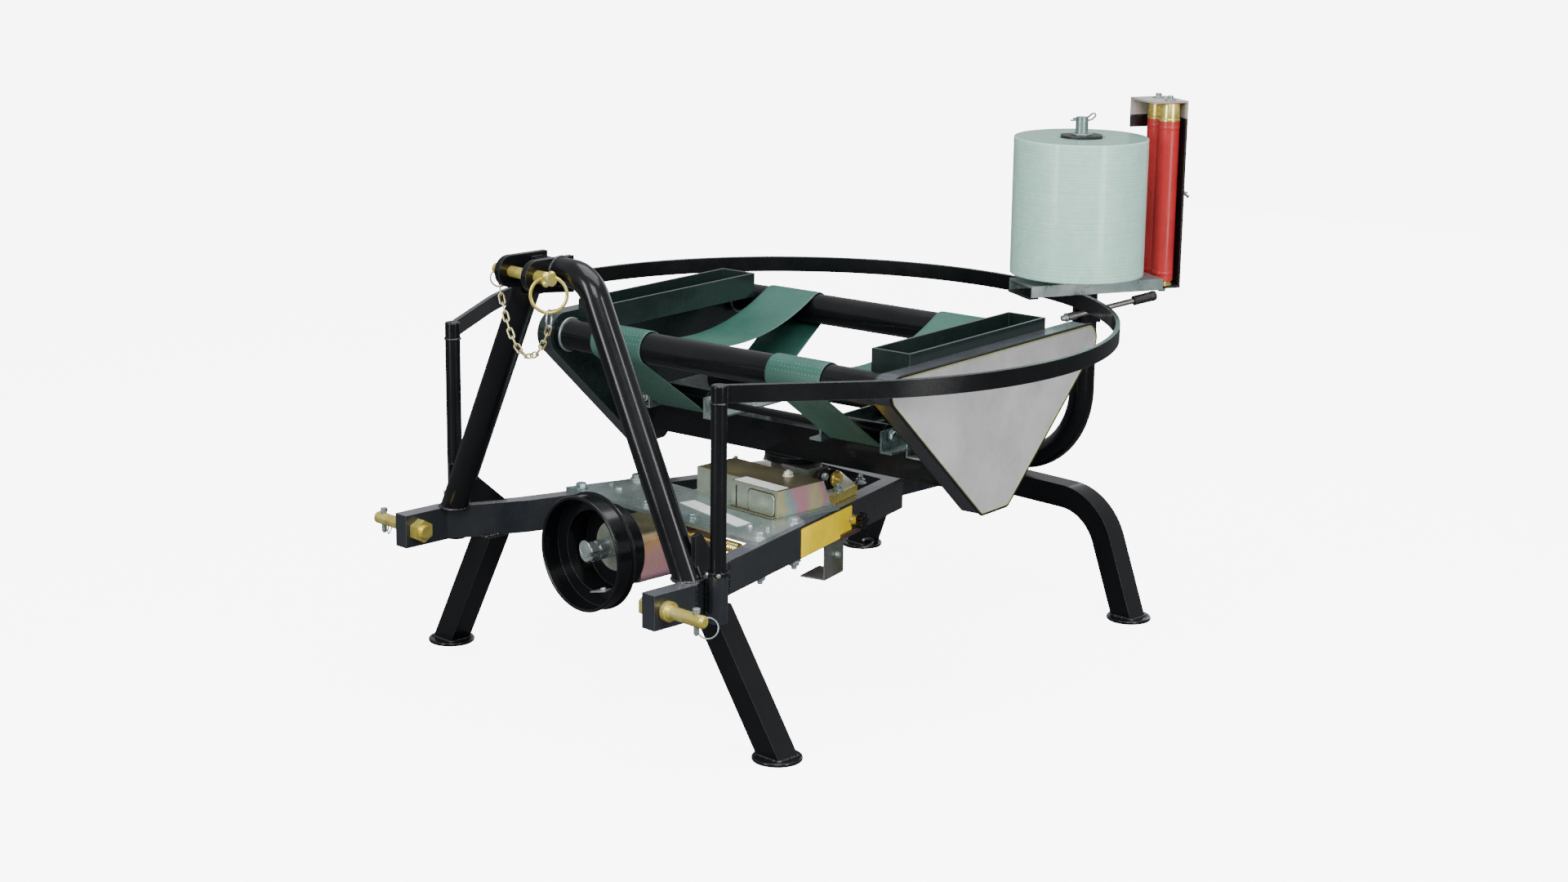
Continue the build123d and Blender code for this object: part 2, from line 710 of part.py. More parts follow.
def drive_shaft():
    """Shaft from the input gearbox back to the turntable's hub."""
    return rod((0, gearbox_rear, pto_height), (0, table_y - hub_radius, pto_height), drive_shaft_radius)


def drive_plate():
    """Plate across both beams over the input gearbox, with a tongue under the cover."""
    front = beam_outer(plate_front)
    rear = beam_outer(plate_rear)
    left = cover_centre_x - cover_half_width - tongue_margin
    right = cover_centre_x + cover_half_width + tongue_margin
    end = cover_rear + tongue_margin / 2
    outline = [(-front, plate_front), (front, plate_front), (rear, plate_rear), (right, plate_rear),
               (right, end), (left, end), (left, plate_rear), (-rear, plate_rear)]
    return extrude_plan(outline, beam_top, plate_thickness)


def cover_block(shrink, height):
    """The cover's stepped outline, raised, with its rear face leaning forward."""
    left = cover_centre_x - cover_half_width + shrink
    right = cover_centre_x + cover_half_width - shrink
    front = cover_front + shrink
    rear = cover_rear - shrink
    step = cover_step_x + shrink
    block = extrude_plan(
        [(left, rear), (left, front + cover_step), (step, front + cover_step), (step, front), (right, front), (right, rear)],
        plate_top, height)
    lean = upright_plate(
        [(rear - cover_slope, plate_top + cover_height), (rear, plate_top), (rear + cover_slope, plate_top),
         (rear + cover_slope, plate_top + cover_height)], left - shrink, right - left + 2 * shrink)
    return block - lean


def drive_cover():
    """Folded sheet cover over the drive, open below."""
    return cover_block(0, cover_height) - cover_block(cover_sheet, cover_height - cover_sheet)


def hub_outline(inset):
    """Hub plate's outline, a distance in from the beams' outer faces, with its rear corners cut."""
    front = beam_outer(hub_plate_front) - inset
    side = beam_outer(hub_plate_corner) - inset
    return [(-front, hub_plate_front), (front, hub_plate_front), (side, hub_plate_corner),
            (hub_plate_rear_half, hub_plate_rear), (-hub_plate_rear_half, hub_plate_rear),
            (-side, hub_plate_corner)]


def hub_plate():
    """Folded plate across the beams that carries the turntable's bearing."""
    plate = extrude_plan(hub_outline(hub_plate_inset), hub_top - hub_plate_sheet, hub_plate_sheet)
    for side in (-1, 1):
        front = beam_outer(hub_plate_front) - hub_plate_inset
        rear = beam_outer(hub_plate_corner) - hub_plate_inset
        edge = [(side * front, hub_plate_front), (side * (front - hub_plate_sheet), hub_plate_front),
                (side * (rear - hub_plate_sheet), hub_plate_corner), (side * rear, hub_plate_corner)]
        plate += extrude_plan(edge, beam_top, hub_plate_rise - hub_plate_sheet)
    return plate - Pos(0, table_y, beam_top) * Cylinder(hub_radius, 2 * hub_plate_rise)


def hub():
    """Angle drive below the hub plate and the bearing housing that stands through it."""
    top = table_beam_bottom - hub_flange - hub_gap
    bottom = pto_height - hub_below
    body = Pos(0, table_y, (bottom + beam_top) / 2) * Cylinder(hub_radius, beam_top - bottom)
    neck = Pos(0, table_y, (beam_top + top) / 2) * Cylinder(hub_radius, top - beam_top)
    return body, neck


def hub_guard():
    """Folded guard plate in front of the hub, with a return along its right side."""
    face = Polyline((guard_plate_left, guard_plate_y, guard_plate_top), (guard_plate_right, guard_plate_y, guard_plate_top),
                    (guard_plate_right, guard_plate_y, plate_top),
                    (guard_plate_left + guard_plate_slope, guard_plate_y, plate_top), close=True)
    guard = extrude(make_face(face), amount=guard_plate_sheet, dir=(0, 1, 0))
    side = Pos(guard_plate_right - guard_plate_sheet / 2, guard_plate_y + guard_plate_return / 2, 0)
    bottom = hub_top
    side_height = guard_plate_top - bottom
    return guard + side * Pos(0, 0, bottom + side_height / 2) * Box(guard_plate_sheet, guard_plate_return, side_height)


def brake_cheek():
    """Bracket plate beside the hub that holds the brake wheel."""
    middle = Pos(cheek_x + cheek_sheet / 2, cheek_front + cheek_length / 2, hub_top + cheek_height / 2)
    cheek = middle * Box(cheek_sheet, cheek_length, cheek_height)
    corners = cheek.edges().filter_by(Axis.X).group_by(Axis.Z)[-1]
    return chamfer(corners, length=cheek_height / 3)


def brake_wheel():
    """Small grooved wheel on its bolt, beside the bracket."""
    start = cheek_x + cheek_sheet
    z = hub_top + cheek_height / 2
    wheel = rod((start, wheel_y, z), (start + wheel_width, wheel_y, z), wheel_radius)
    wheel = chamfer(wheel.edges().filter_by(GeomType.CIRCLE), length=wheel_width / 4)
    return wheel + rod((start, wheel_y, z), (start + wheel_width + wheel_bolt, wheel_y, z), wheel_bolt)


# Turntable

def side_outline(x, corners, shrink=0.0):
    """Inverted triangle with round corners, in a plane across the rollers' axes."""
    edges = []
    for y, z, radius in corners:
        for side in (-1, 1):
            edges += (Pos(side * y, z) * Circle(radius - shrink)).edges()
    plane = Plane(origin=(x, 0, 0), x_dir=(0, 1, 0), z_dir=(1, 0, 0))
    return plane * make_hull(edges)


def side_plate(direction):
    """Side plate that holds the rollers' ends."""
    outline = side_outline(direction * face_of[direction], corners_of[direction])
    plate = extrude(outline, amount=side_sheet, dir=(direction, 0, 0))
    for y in (-roller_y, roller_y):
        reach = direction * 2 * right_face
        plate -= rod((0, y, roller_z), (reach, y, roller_z), axle_radius + axle_clearance)
    return plate


def side_rim(direction, depth):
    """Edge strip standing out from a side plate."""
    x = direction * (face_of[direction] + side_sheet)
    outer = extrude(side_outline(x, corners_of[direction]), amount=depth, dir=(direction, 0, 0))
    inner = extrude(side_outline(x, corners_of[direction], case_sheet), amount=depth, dir=(direction, 0, 0))
    return outer - inner


def table_beam():
    """Square tube across the table with the bearing flange under it."""
    centre = Pos((right_face - left_face) / 2, 0, table_beam_bottom + table_beam_height / 2)
    beam = centre * Box(right_face + left_face, table_beam_width, table_beam_height)
    flange = Pos(0, 0, table_beam_bottom - hub_flange / 2) * Cylinder(hub_flange_radius, hub_flange)
    return beam + flange


def trough(direction):
    """Open channel along the inside of a side plate."""
    centre = Pos(direction * (face_of[direction] - trough_width / 2), 0, trough_top - trough_depth / 2)
    outside = Box(trough_width, 2 * trough_half, trough_depth)
    inside = Pos(0, 0, trough_sheet) * Box(trough_width - 2 * trough_sheet, 2 * (trough_half - trough_sheet), trough_depth)
    return centre * (outside - inside)


def belt_roller(y):
    """Roller across the table with its axle ends in the side plates."""
    drum = rod((roller_gap - left_face, y, roller_z), (right_face - roller_gap, y, roller_z), roller_radius)
    return drum + rod((-left_face - side_sheet, y, roller_z), (right_face + side_sheet, y, roller_z), axle_radius)


def idler(y):
    """Two short drums on one shaft, between the cradle plates."""
    inner = belt_centre - belt_width / 2 - cradle_gap + idler_play
    outer = belt_centre + belt_width / 2 + cradle_gap - idler_play
    end = outer + idler_play + cradle_sheet + 1
    shaft = rod((-end, y, idler_z), (end, y, idler_z), idler_axle)
    for side in (-1, 1):
        shaft += rod((side * inner, y, idler_z), (side * outer, y, idler_z), idler_radius)
    return shaft


def cradle(side):
    """Pair of angle bars on the beam beside one belt, which hold the idlers."""
    pair = None
    height = idler_z + cradle_rise - table_beam_top
    for edge in (-1, 1):
        x = side * belt_centre + edge * (belt_width / 2 + cradle_gap + cradle_sheet / 2)
        web = Pos(x, 0, table_beam_top + height / 2) * Box(cradle_sheet, 2 * cradle_half, height)
        foot_x = x + edge * (cradle_width - cradle_sheet) / 2
        web += Pos(foot_x, 0, table_beam_top + cradle_sheet / 2) * Box(cradle_width, 2 * cradle_half, cradle_sheet)
        pair = web if pair is None else pair + web
    for y in (-idler_y, idler_y):
        reach = belt_centre + belt_width
        pair -= rod((-reach, y, idler_z), (reach, y, idler_z), idler_axle + axle_clearance)
    return pair


def belt(side):
    """Closed belt round the rollers and idlers, slack on top between the rollers."""
    x = side * belt_centre - belt_width / 2
    top_radius = roller_radius + belt_clearance
    idler_round = idler_radius + belt_clearance
    rollers = [Pos(y, roller_z) * Circle(top_radius) for y in (-roller_y, roller_y)]
    idlers = [Pos(y, idler_z) * Circle(idler_round) for y in (-idler_y, idler_y)]
    hull = make_hull([edge for circle in rollers + idlers for edge in circle.edges()])
    # The slack run is an arc that touches both rollers' circles from outside.
    reach = (roller_y ** 2 + belt_sag ** 2) / (2 * belt_sag)
    sag_radius = reach - top_radius
    sag_centre_z = roller_z + reach - belt_sag
    touch_z = roller_z + top_radius * (sag_centre_z - roller_z) / reach
    above = Pos(0, touch_z + top_radius) * Rectangle(2 * roller_y, 2 * top_radius)
    above += Pos(0, sag_centre_z) * Circle(sag_radius)
    for circle in rollers:
        above -= circle
    inner = (hull - above).face()
    band = offset(inner, amount=belt_thickness).face() - inner
    plane = Plane(origin=(x, 0, 0), x_dir=(0, 1, 0), z_dir=(1, 0, 0))
    return extrude(plane * band, amount=belt_width, dir=(1, 0, 0))


# Film dispenser

def at_dispenser(piece):
    """From the dispenser's own directions, along its base, to the machine's."""
    return Pos(film_x, film_y, 0) * Rot(0, 0, base_turn) * piece


def dispenser_base():
    """Channel that carries the film roll and the stretch rollers, with the disc under the roll."""
    length = base_back + base_front
    centre = Pos((base_front - base_back) / 2, 0, base_top - base_lip / 2)
    outside = Box(length, base_width, base_lip)
    inside = Pos(0, 0, -base_sheet) * Box(length, base_width - 2 * base_sheet, base_lip)
    disc = Pos(0, 0, base_top + turner_height / 2) * Cylinder(turner_radius, turner_height)
    return centre * (outside - inside) + disc


def film_spindle():
    top = film_base + film_height + cap_thickness + spindle_overhang - core_depth
    return rod((0, 0, base_top + turner_height), (0, 0, top), spindle_radius)


def film_roll():
    """Roll of film on its core, turning on the spindle."""
    roll = Pos(0, 0, film_base + film_height / 2) * Cylinder(film_radius, film_height)
    roll = fillet(roll.edges(), radius=film_corner)
    roll -= Pos(0, 0, film_base + film_height) * Cylinder(core_radius, 2 * core_depth)
    return roll - Pos(0, 0, film_base + film_height / 2) * Cylinder(spindle_radius + axle_clearance, film_height * 2)


def film_cap():
    """Clamping disc with two flats, on the roll's core."""
    cap = Cylinder(cap_radius, cap_thickness) & Box(2 * cap_radius, 2 * cap_flat, cap_thickness)
    cap -= Cylinder(spindle_radius + axle_clearance, 2 * cap_thickness)
    return Pos(0, 0, film_base + film_height - core_depth + cap_thickness / 2) * cap


def stretch_roller(y):
    """Rubber-covered roller between two plated collars."""
    x = stretch_reach
    levels = [roller_foot, roller_foot + foot_collar_length]
    levels += [levels[1] + stretch_length, levels[1] + stretch_length + head_collar_length]
    roller = rod((x, y, levels[0]), (x, y, levels[1]), foot_collar_radius)
    roller += rod((x, y, levels[1]), (x, y, levels[2]), stretch_radius)
    return roller + rod((x, y, levels[2]), (x, y, levels[3]), head_collar_radius)


def roller_frame():
    """Upright plate behind the stretch rollers, with the plates that hold their two ends."""
    outer = stretch_reach + stretch_radius + frame_clear
    across = stretch_pitch + frame_front + frame_rear
    height = 2 * running_gap + foot_collar_length + stretch_length + head_collar_length
    middle = (stretch_pitch + frame_rear - frame_front) / 2
    back = Pos(outer + frame_sheet / 2, middle, base_bottom + height / 2) * Box(frame_sheet, across, height)
    foot_length = outer + frame_sheet - base_front + frame_lap
    foot = Pos(outer + frame_sheet - foot_length / 2, middle, base_bottom - frame_sheet / 2)
    foot = foot * Box(foot_length, across, frame_sheet)
    head_length = outer + frame_sheet - stretch_reach + frame_hood
    head_x = outer + frame_sheet - head_length / 2
    head_top = base_bottom + height + frame_sheet
    head = Pos(head_x, middle, head_top - frame_sheet / 2) * Box(head_length, across, frame_sheet)
    head -= Pos(outer + frame_sheet - head_length, 0, head_top) * Cylinder(hook_radius, 3 * frame_sheet)
    hood_y = middle + across / 2 - frame_sheet / 2
    hood = Pos(head_x, hood_y, head_top - frame_hood_drop / 2) * Box(head_length, frame_sheet, frame_hood_drop)
    return back + foot + head + hood


def dispenser_strap():
    """Flat bars across the base's underside, inside the guard rail."""
    bar = Pos(strap_first, 0, base_bottom - strap_sheet / 2) * Box(strap_width, 2 * strap_half, strap_sheet)
    return Compound(children=[bar, Pos(strap_pitch, 0, 0) * bar])


def dispenser_arm():
    """Bent tube from the spine's side up to the dispenser, outside the guard rail, with the lever's block."""
    points = [(spine_width / 2, arm_y, arm_height), (arm_x, arm_y, arm_height), (arm_x, arm_y, base_top - base_sheet)]
    arm = swept_tube(points, [arm_bend_radius], arm_tube)
    block = Pos(arm_along, -block_size[1] / 2, base_bottom - block_below) * Box(*block_size)
    return arm + at_dispenser(block)


def dispenser_lever():
    """Brake lever on its pivot beside the arm's block, with a grip at the end."""
    start = Vector(0, 0, base_bottom) + Vector(*lever_start)
    end = Vector(0, 0, base_bottom) + Vector(*lever_end)
    along = (end - start).normalized()
    lever = rod(start, end, lever_radius)
    lever += rod(end - along * grip_length, end, grip_radius)
    lever += rod(start, start + along * pivot_length, pivot_radius)
    beside = start + along * ((arm_along - start.X) / along.X)
    lever += rod((arm_along, -block_size[1], beside.Z), (arm_along, beside.Y, beside.Z), pivot_radius)
    return at_dispenser(lever)


# Small pieces on the right beam

def on_beam(y, z, piece):
    """A piece drawn with Y along the beam and X outwards, placed on the beam's outer face."""
    return Pos(beam_outer(y), y, z) * Rot(0, 0, beam_angle) * piece


def beam_tray():
    """Folded bracket hung under the beam, open inwards."""
    web = Pos(-tray_sheet / 2, 0, -tray_depth / 2) * Box(tray_sheet, tray_length, tray_depth)
    top = Pos(-beam_wall / 2, 0, -tray_sheet / 2) * Box(beam_wall, tray_length, tray_sheet)
    bottom = Pos(-tray_width / 2, 0, -tray_depth + tray_sheet / 2) * Box(tray_width, tray_length, tray_sheet)
    return on_beam(tray_y, beam_bottom, web + top + bottom)


def beam_latch():
    """Spring plunger with a lobed knob, on the beam's outer face."""
    body = rod((0, 0, 0), (latch_reach, 0, 0), latch_radius)
    knob = rod((latch_reach, 0, 0), (latch_reach + knob_length, 0, 0), knob_radius)
    for place in range(knob_lobes):
        turn = radians(360 / knob_lobes * place)
        y = knob_radius * cos(turn)
        z = knob_radius * sin(turn)
        knob += rod((latch_reach, y, z), (latch_reach + knob_length, y, z), lobe_size)
    return on_beam(latch_y, beam_bottom + latch_above, body + knob)


def beam_strip():
    piece = Pos(strip_depth / 2, 0, strip_height / 2) * Box(strip_depth, strip_length, strip_height)
    return on_beam(strip_y, beam_bottom, piece)


def build():
    """Every piece by its node name, in the hitch's frame."""
    nodes = {}
    for name, side in SIDES:
        turn = (lambda piece: piece) if side > 0 else mirrored
        nodes[name + "_beam"] = turn(main_beam())
        nodes[name + "_lower_pin"] = turn(lower_pin())
        nodes[name + "_front_leg"] = turn(front_leg())
        nodes[name + "_guard_post"] = turn(guard_post())
    nodes["rear_frame"] = rear_frame()
    nodes["top_link_ears"] = ears()
    nodes["top_pin"] = top_pin()
    nodes["top_pin_ring"] = handle_ring(ring_wire)
    nodes["pin_chain"] = pin_chain()
    nodes["left_mast_tube"] = mast_left()
    nodes["right_mast_tube"] = mast_right()
    nodes["right_gusset"] = gusset(nodes["right_mast_tube"])
    nodes["left_gusset"] = mirrored(gusset(mirrored(nodes["left_mast_tube"])))
    nodes["rear_legs"] = rear_legs()
    rail = guard_rail()
    for name, side in SIDES:
        rail -= nodes[name + "_guard_post"]
    nodes["guard_rail"] = rail
    nodes["pto_guard"] = pto_guard()
    nodes["pto_shaft"] = pto_shaft()
    nodes["gearbox"] = gearbox()
    nodes["drive_shaft"] = drive_shaft()
    nodes["drive_plate"] = drive_plate()
    nodes["drive_cover"] = drive_cover()
    nodes["hub_plate"] = hub_plate()
    nodes["hub_drive"], nodes["hub_bearing"] = hub()
    nodes["hub_guard"] = hub_guard()
    nodes["brake_cheek"] = brake_cheek()
    nodes["brake_wheel"] = brake_wheel()
    nodes["beam_tray"] = beam_tray()
    nodes["beam_latch"] = beam_latch()
    nodes["beam_strip"] = beam_strip()
    nodes["table_beam"] = on_table(table_beam())
    for name, side in SIDES:
        nodes[name + "_side_plate"] = on_table(side_plate(side))
        nodes[name + "_trough"] = on_table(trough(side))
        nodes[name + "_belt"] = on_table(belt(side))
        nodes[name + "_cradle"] = on_table(cradle(side))
    nodes["left_side_flange"] = on_table(side_rim(-1, pan_depth))
    nodes["chain_case"] = on_table(side_rim(1, case_depth))
    cover = side_outline(right_face + side_sheet + case_depth, corners_of[1])
    nodes["chain_cover"] = on_table(extrude(cover, amount=face_sheet, dir=(1, 0, 0)))
    nodes["front_roller"] = on_table(belt_roller(-roller_y))
    nodes["rear_roller"] = on_table(belt_roller(roller_y))
    nodes["front_idler"] = on_table(idler(-idler_y))
    nodes["rear_idler"] = on_table(idler(idler_y))
    nodes["dispenser_base"] = at_dispenser(dispenser_base())
    nodes["film_spindle"] = at_dispenser(film_spindle())
    nodes["film_roll"] = at_dispenser(film_roll())
    nodes["film_cap"] = at_dispenser(film_cap())
    nodes["front_stretch_roller"] = at_dispenser(stretch_roller(0))
    nodes["rear_stretch_roller"] = at_dispenser(stretch_roller(stretch_pitch))
    nodes["roller_frame"] = at_dispenser(roller_frame())
    nodes["dispenser_strap"] = at_dispenser(dispenser_strap())
    nodes["dispenser_arm"] = dispenser_arm()
    nodes["dispenser_lever"] = dispenser_lever()
    return nodes


def centred(nodes):
    """The nodes moved along Y so that the origin is under the middle of the machine."""
    boxes = [piece.bounding_box() for piece in nodes.values()]
    middle = (min(box.min.Y for box in boxes) + max(box.max.Y for box in boxes)) / 2
    return {name: Pos(0, -middle, 0) * piece for name, piece in nodes.items()}, middle


nodes, middle_y = centred(build())
os.makedirs("parts", exist_ok=True)
for name, piece in nodes.items():
    export_step(piece, "parts/" + name + ".step")
print("nodes", len(nodes), "origin is", round(middle_y, 2), "mm behind the hitch")
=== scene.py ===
"""Looks for the mounted bale wrapper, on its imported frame. Metres, Z up, hitch towards -Y."""
import bpy
import bmesh
import json
from math import asin, atan2, cos, hypot, pi, radians, sin
from mathutils import Matrix, Vector


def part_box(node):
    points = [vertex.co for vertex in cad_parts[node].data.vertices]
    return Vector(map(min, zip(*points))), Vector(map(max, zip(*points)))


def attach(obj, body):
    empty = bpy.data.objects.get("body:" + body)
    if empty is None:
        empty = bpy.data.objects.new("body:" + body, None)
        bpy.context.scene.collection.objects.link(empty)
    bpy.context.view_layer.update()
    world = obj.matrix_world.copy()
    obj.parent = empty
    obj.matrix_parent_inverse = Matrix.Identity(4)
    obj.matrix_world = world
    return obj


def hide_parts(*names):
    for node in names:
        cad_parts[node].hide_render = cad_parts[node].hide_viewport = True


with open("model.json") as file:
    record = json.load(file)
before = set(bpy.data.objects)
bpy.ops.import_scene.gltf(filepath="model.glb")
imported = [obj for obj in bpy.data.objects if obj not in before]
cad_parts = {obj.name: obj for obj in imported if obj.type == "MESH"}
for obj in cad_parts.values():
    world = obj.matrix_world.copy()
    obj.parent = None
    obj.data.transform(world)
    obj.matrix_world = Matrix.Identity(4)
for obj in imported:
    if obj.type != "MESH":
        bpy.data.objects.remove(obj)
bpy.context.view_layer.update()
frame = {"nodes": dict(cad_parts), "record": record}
nodes = frame["nodes"]

# Places that the pieces are set out from, in metres, and the turns of the table and the dispenser
hitch_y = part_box("right_beam")[0].y
table_centre = Vector((0, hitch_y + 0.670, 0))
film_centre = Vector((0.205, hitch_y + 1.222, 0))
table_turn = radians(7)
base_turn = radians(66)

# Beams, in millimetres: X from the middle, Y from the hitch, Z from the ground
hitch_half = 341.5
pin_y = 27
pin_z = 272
bend_y = 93
knuckle_x = 279
knuckle_y = 228
beam_end_x = 100
beam_end_y = 856
beam_angle = atan2(knuckle_x - beam_end_x, beam_end_y - knuckle_y)
beam_bottom = 242
beam_top = 302

# Mast, guard posts and legs, in millimetres
mast_foot_x = 306.9
mast_foot_y = 105
mast_radius = 24
left_mast_axis = (266.9, -41, 481)
right_mast_axis = (-194.9, -41, 481)
ear_x = 40
post_x = 345
post_y = 138
rear_leg_y = 1235
foot_top = 7

# Drive, in millimetres
shaft_z = 279
plate_top = 310
hub_top = 319
cover_top = 358

# Turntable's rollers and belts, in millimetres across and along the table
roller_y = 250
roller_z = 580
roller_round = 31
idler_y = 82
idler_z = 453.5
idler_round = 22
belt_sag = 62
belt_width = 118
belt_centre = 202
belt_thickness = 3

# Film dispenser, in millimetres: its arm's tube, and the stretch rollers' places from the roll's axis
arm_radius = 24
stretch_reach = 188
stretch_pitch = 46


def beam_outer(y):
    """Outer face of the right beam behind its knuckle, in millimetres."""
    return knuckle_x - (y - knuckle_y) * (knuckle_x - beam_end_x) / (beam_end_y - knuckle_y)


# Shader groups

# Sockets of a colour mix, which Blender tells apart by number alone
MIX_LOW = 6
MIX_HIGH = 7
MIX_COLOR = 2

MID_GREY = (0.5, 0.5, 0.5, 1)


def socket_list(tree, names, direction):
    """Named sockets of a group; a float, colour or normal by the look of its default."""
    for name, default in names.items():
        kind = "NodeSocketFloat"
        if default == "normal":
            kind = "NodeSocketVector"
        elif isinstance(default, tuple):
            kind = "NodeSocketColor"
        socket = tree.interface.new_socket(name=name, in_out=direction, socket_type=kind)
        if kind != "NodeSocketVector" and direction == "INPUT":
            socket.default_value = default


def new_group(name, inputs, outputs):
    """An empty group with named sockets, and the nodes of its inputs and outputs."""
    tree = bpy.data.node_groups.new(name, "ShaderNodeTree")
    socket_list(tree, inputs, "INPUT")
    socket_list(tree, outputs, "OUTPUT")
    return tree, tree.nodes.new("NodeGroupInput"), tree.nodes.new("NodeGroupOutput")


def add(tree, kind, **settings):
    """A node with its properties set; a setting named after a socket sets that socket."""
    node = tree.nodes.new(kind)
    for name, value in settings.items():
        socket = node.inputs.get(name.replace("_", " "))
        if hasattr(node, name):
            setattr(node, name, value)
        elif socket is not None:
            socket.default_value = value
        else:
            raise ValueError(kind + " has no " + name)
    return node


def join(tree, *pairs):
    """Links from each pair's first socket to its second."""
    for source, target in pairs:
        tree.links.new(source, target)


def soft_edges_group():
    """Rounded light on sharp edges, and a mask of where the edges are."""
    tree, given, out = new_group(
        "Soft edges",
        {"Radius": 0.001, "Spread": 6.0},
        {"Normal": "normal", "Edge": 0.0})
    bevel = add(tree, "ShaderNodeBevel", samples=4)
    geometry = add(tree, "ShaderNodeNewGeometry")
    dot = add(tree, "ShaderNodeVectorMath", operation="DOT_PRODUCT")
    bend = add(tree, "ShaderNodeMath", operation="SUBTRACT")
    bend.inputs[0].default_value = 1.0
    spread = add(tree, "ShaderNodeMath", operation="MULTIPLY", use_clamp=True)
    join(tree,
         (given.outputs["Radius"], bevel.inputs["Radius"]),
         (bevel.outputs["Normal"], dot.inputs[0]),
         (geometry.outputs["Normal"], dot.inputs[1]),
         (dot.outputs["Value"], bend.inputs[1]),
         (bend.outputs[0], spread.inputs[0]),
         (given.outputs["Spread"], spread.inputs[1]),
         (bevel.outputs["Normal"], out.inputs["Normal"]),
         (spread.outputs[0], out.inputs["Edge"]))
    return tree


def smudge_group():
    """Slow and fine unevenness of a finish, as a value from Low to High and as a mask."""
    tree, given, out = new_group(
        "Smudges",
        {"Scale": 8.0, "Low": 0.2, "High": 0.5},
        {"Value": 0.0, "Mask": 0.0})
    place = add(tree, "ShaderNodeTexCoord")
    slow = add(tree, "ShaderNodeTexNoise", Detail=3.0, Roughness=0.6)
    fine = add(tree, "ShaderNodeTexNoise", Detail=5.0, Roughness=0.7)
    finer = add(tree, "ShaderNodeMath", operation="MULTIPLY")
    finer.inputs[1].default_value = 9.0
    both = add(tree, "ShaderNodeMath", operation="MULTIPLY_ADD")
    both.inputs[1].default_value = 0.35
    spread = add(tree, "ShaderNodeMapRange", clamp=True)
    mask = add(tree, "ShaderNodeMapRange", clamp=True)
    for limits in (spread, mask):
        limits.inputs["From Min"].default_value = 0.5
        limits.inputs["From Max"].default_value = 0.85
    join(tree,
         (place.outputs["Object"], slow.inputs["Vector"]),
         (place.outputs["Object"], fine.inputs["Vector"]),
         (given.outputs["Scale"], slow.inputs["Scale"]),
         (given.outputs["Scale"], finer.inputs[0]),
         (finer.outputs[0], fine.inputs["Scale"]),
         (fine.outputs[0], both.inputs[0]),
         (slow.outputs[0], both.inputs[2]),
         (both.outputs[0], spread.inputs["Value"]),
         (given.outputs["Low"], spread.inputs["To Min"]),
         (given.outputs["High"], spread.inputs["To Max"]),
         (spread.outputs[0], out.inputs["Value"]),
         (both.outputs[0], mask.inputs["Value"]),
         (mask.outputs[0], out.inputs["Mask"]))
    return tree


def bloom_group():
    """Passivated zinc: slow clouds that drift between three tints, with a little spangle."""
    tree, given, out = new_group(
        "Zinc bloom",
        {"Scale": 6.0, "Base": MID_GREY, "Second": MID_GREY, "Third": MID_GREY, "Spangle": 0.1},
        {"Color": (0, 0, 0, 1)})
    place = add(tree, "ShaderNodeTexCoord")
    warp = add(tree, "ShaderNodeTexNoise", Detail=2.0, Distortion=0.8)
    other = add(tree, "ShaderNodeTexNoise", Detail=2.0, Distortion=0.4, noise_dimensions="4D")
    other.inputs["W"].default_value = 7.0
    first = add(tree, "ShaderNodeMapRange", clamp=True)
    second = add(tree, "ShaderNodeMapRange", clamp=True)
    for spread in (first, second):
        spread.inputs["From Min"].default_value = 0.42
        spread.inputs["From Max"].default_value = 0.62
    tint = add(tree, "ShaderNodeMix", data_type="RGBA")
    tint_more = add(tree, "ShaderNodeMix", data_type="RGBA")
    grains = add(tree, "ShaderNodeTexVoronoi", Scale=160.0)
    grey = add(tree, "ShaderNodeSeparateColor")
    shade = add(tree, "ShaderNodeMapRange", clamp=True)
    shade.inputs["To Max"].default_value = 1.0
    dim = add(tree, "ShaderNodeMath", operation="SUBTRACT")
    dim.inputs[0].default_value = 1.0
    final = add(tree, "ShaderNodeMix", data_type="RGBA", blend_type="MULTIPLY")
    final.inputs[0].default_value = 1.0
    join(tree,
         (place.outputs["Object"], warp.inputs["Vector"]),
         (place.outputs["Object"], other.inputs["Vector"]),
         (place.outputs["Object"], grains.inputs["Vector"]),
         (given.outputs["Scale"], warp.inputs["Scale"]),
         (given.outputs["Scale"], other.inputs["Scale"]),
         (warp.outputs[0], first.inputs["Value"]),
         (other.outputs[0], second.inputs["Value"]),
         (first.outputs[0], tint.inputs[0]),
         (given.outputs["Base"], tint.inputs[MIX_LOW]),
         (given.outputs["Second"], tint.inputs[MIX_HIGH]),
         (second.outputs[0], tint_more.inputs[0]),
         (tint.outputs[MIX_COLOR], tint_more.inputs[MIX_LOW]),
         (given.outputs["Third"], tint_more.inputs[MIX_HIGH]),
         (grains.outputs["Color"], grey.inputs[0]),
         (grey.outputs[0], shade.inputs["Value"]),
         (given.outputs["Spangle"], dim.inputs[1]),
         (dim.outputs[0], shade.inputs["To Min"]),
         (tint_more.outputs[MIX_COLOR], final.inputs[MIX_LOW]),
         (shade.outputs[0], final.inputs[MIX_HIGH]),
         (final.outputs[MIX_COLOR], out.inputs["Color"]))
    return tree


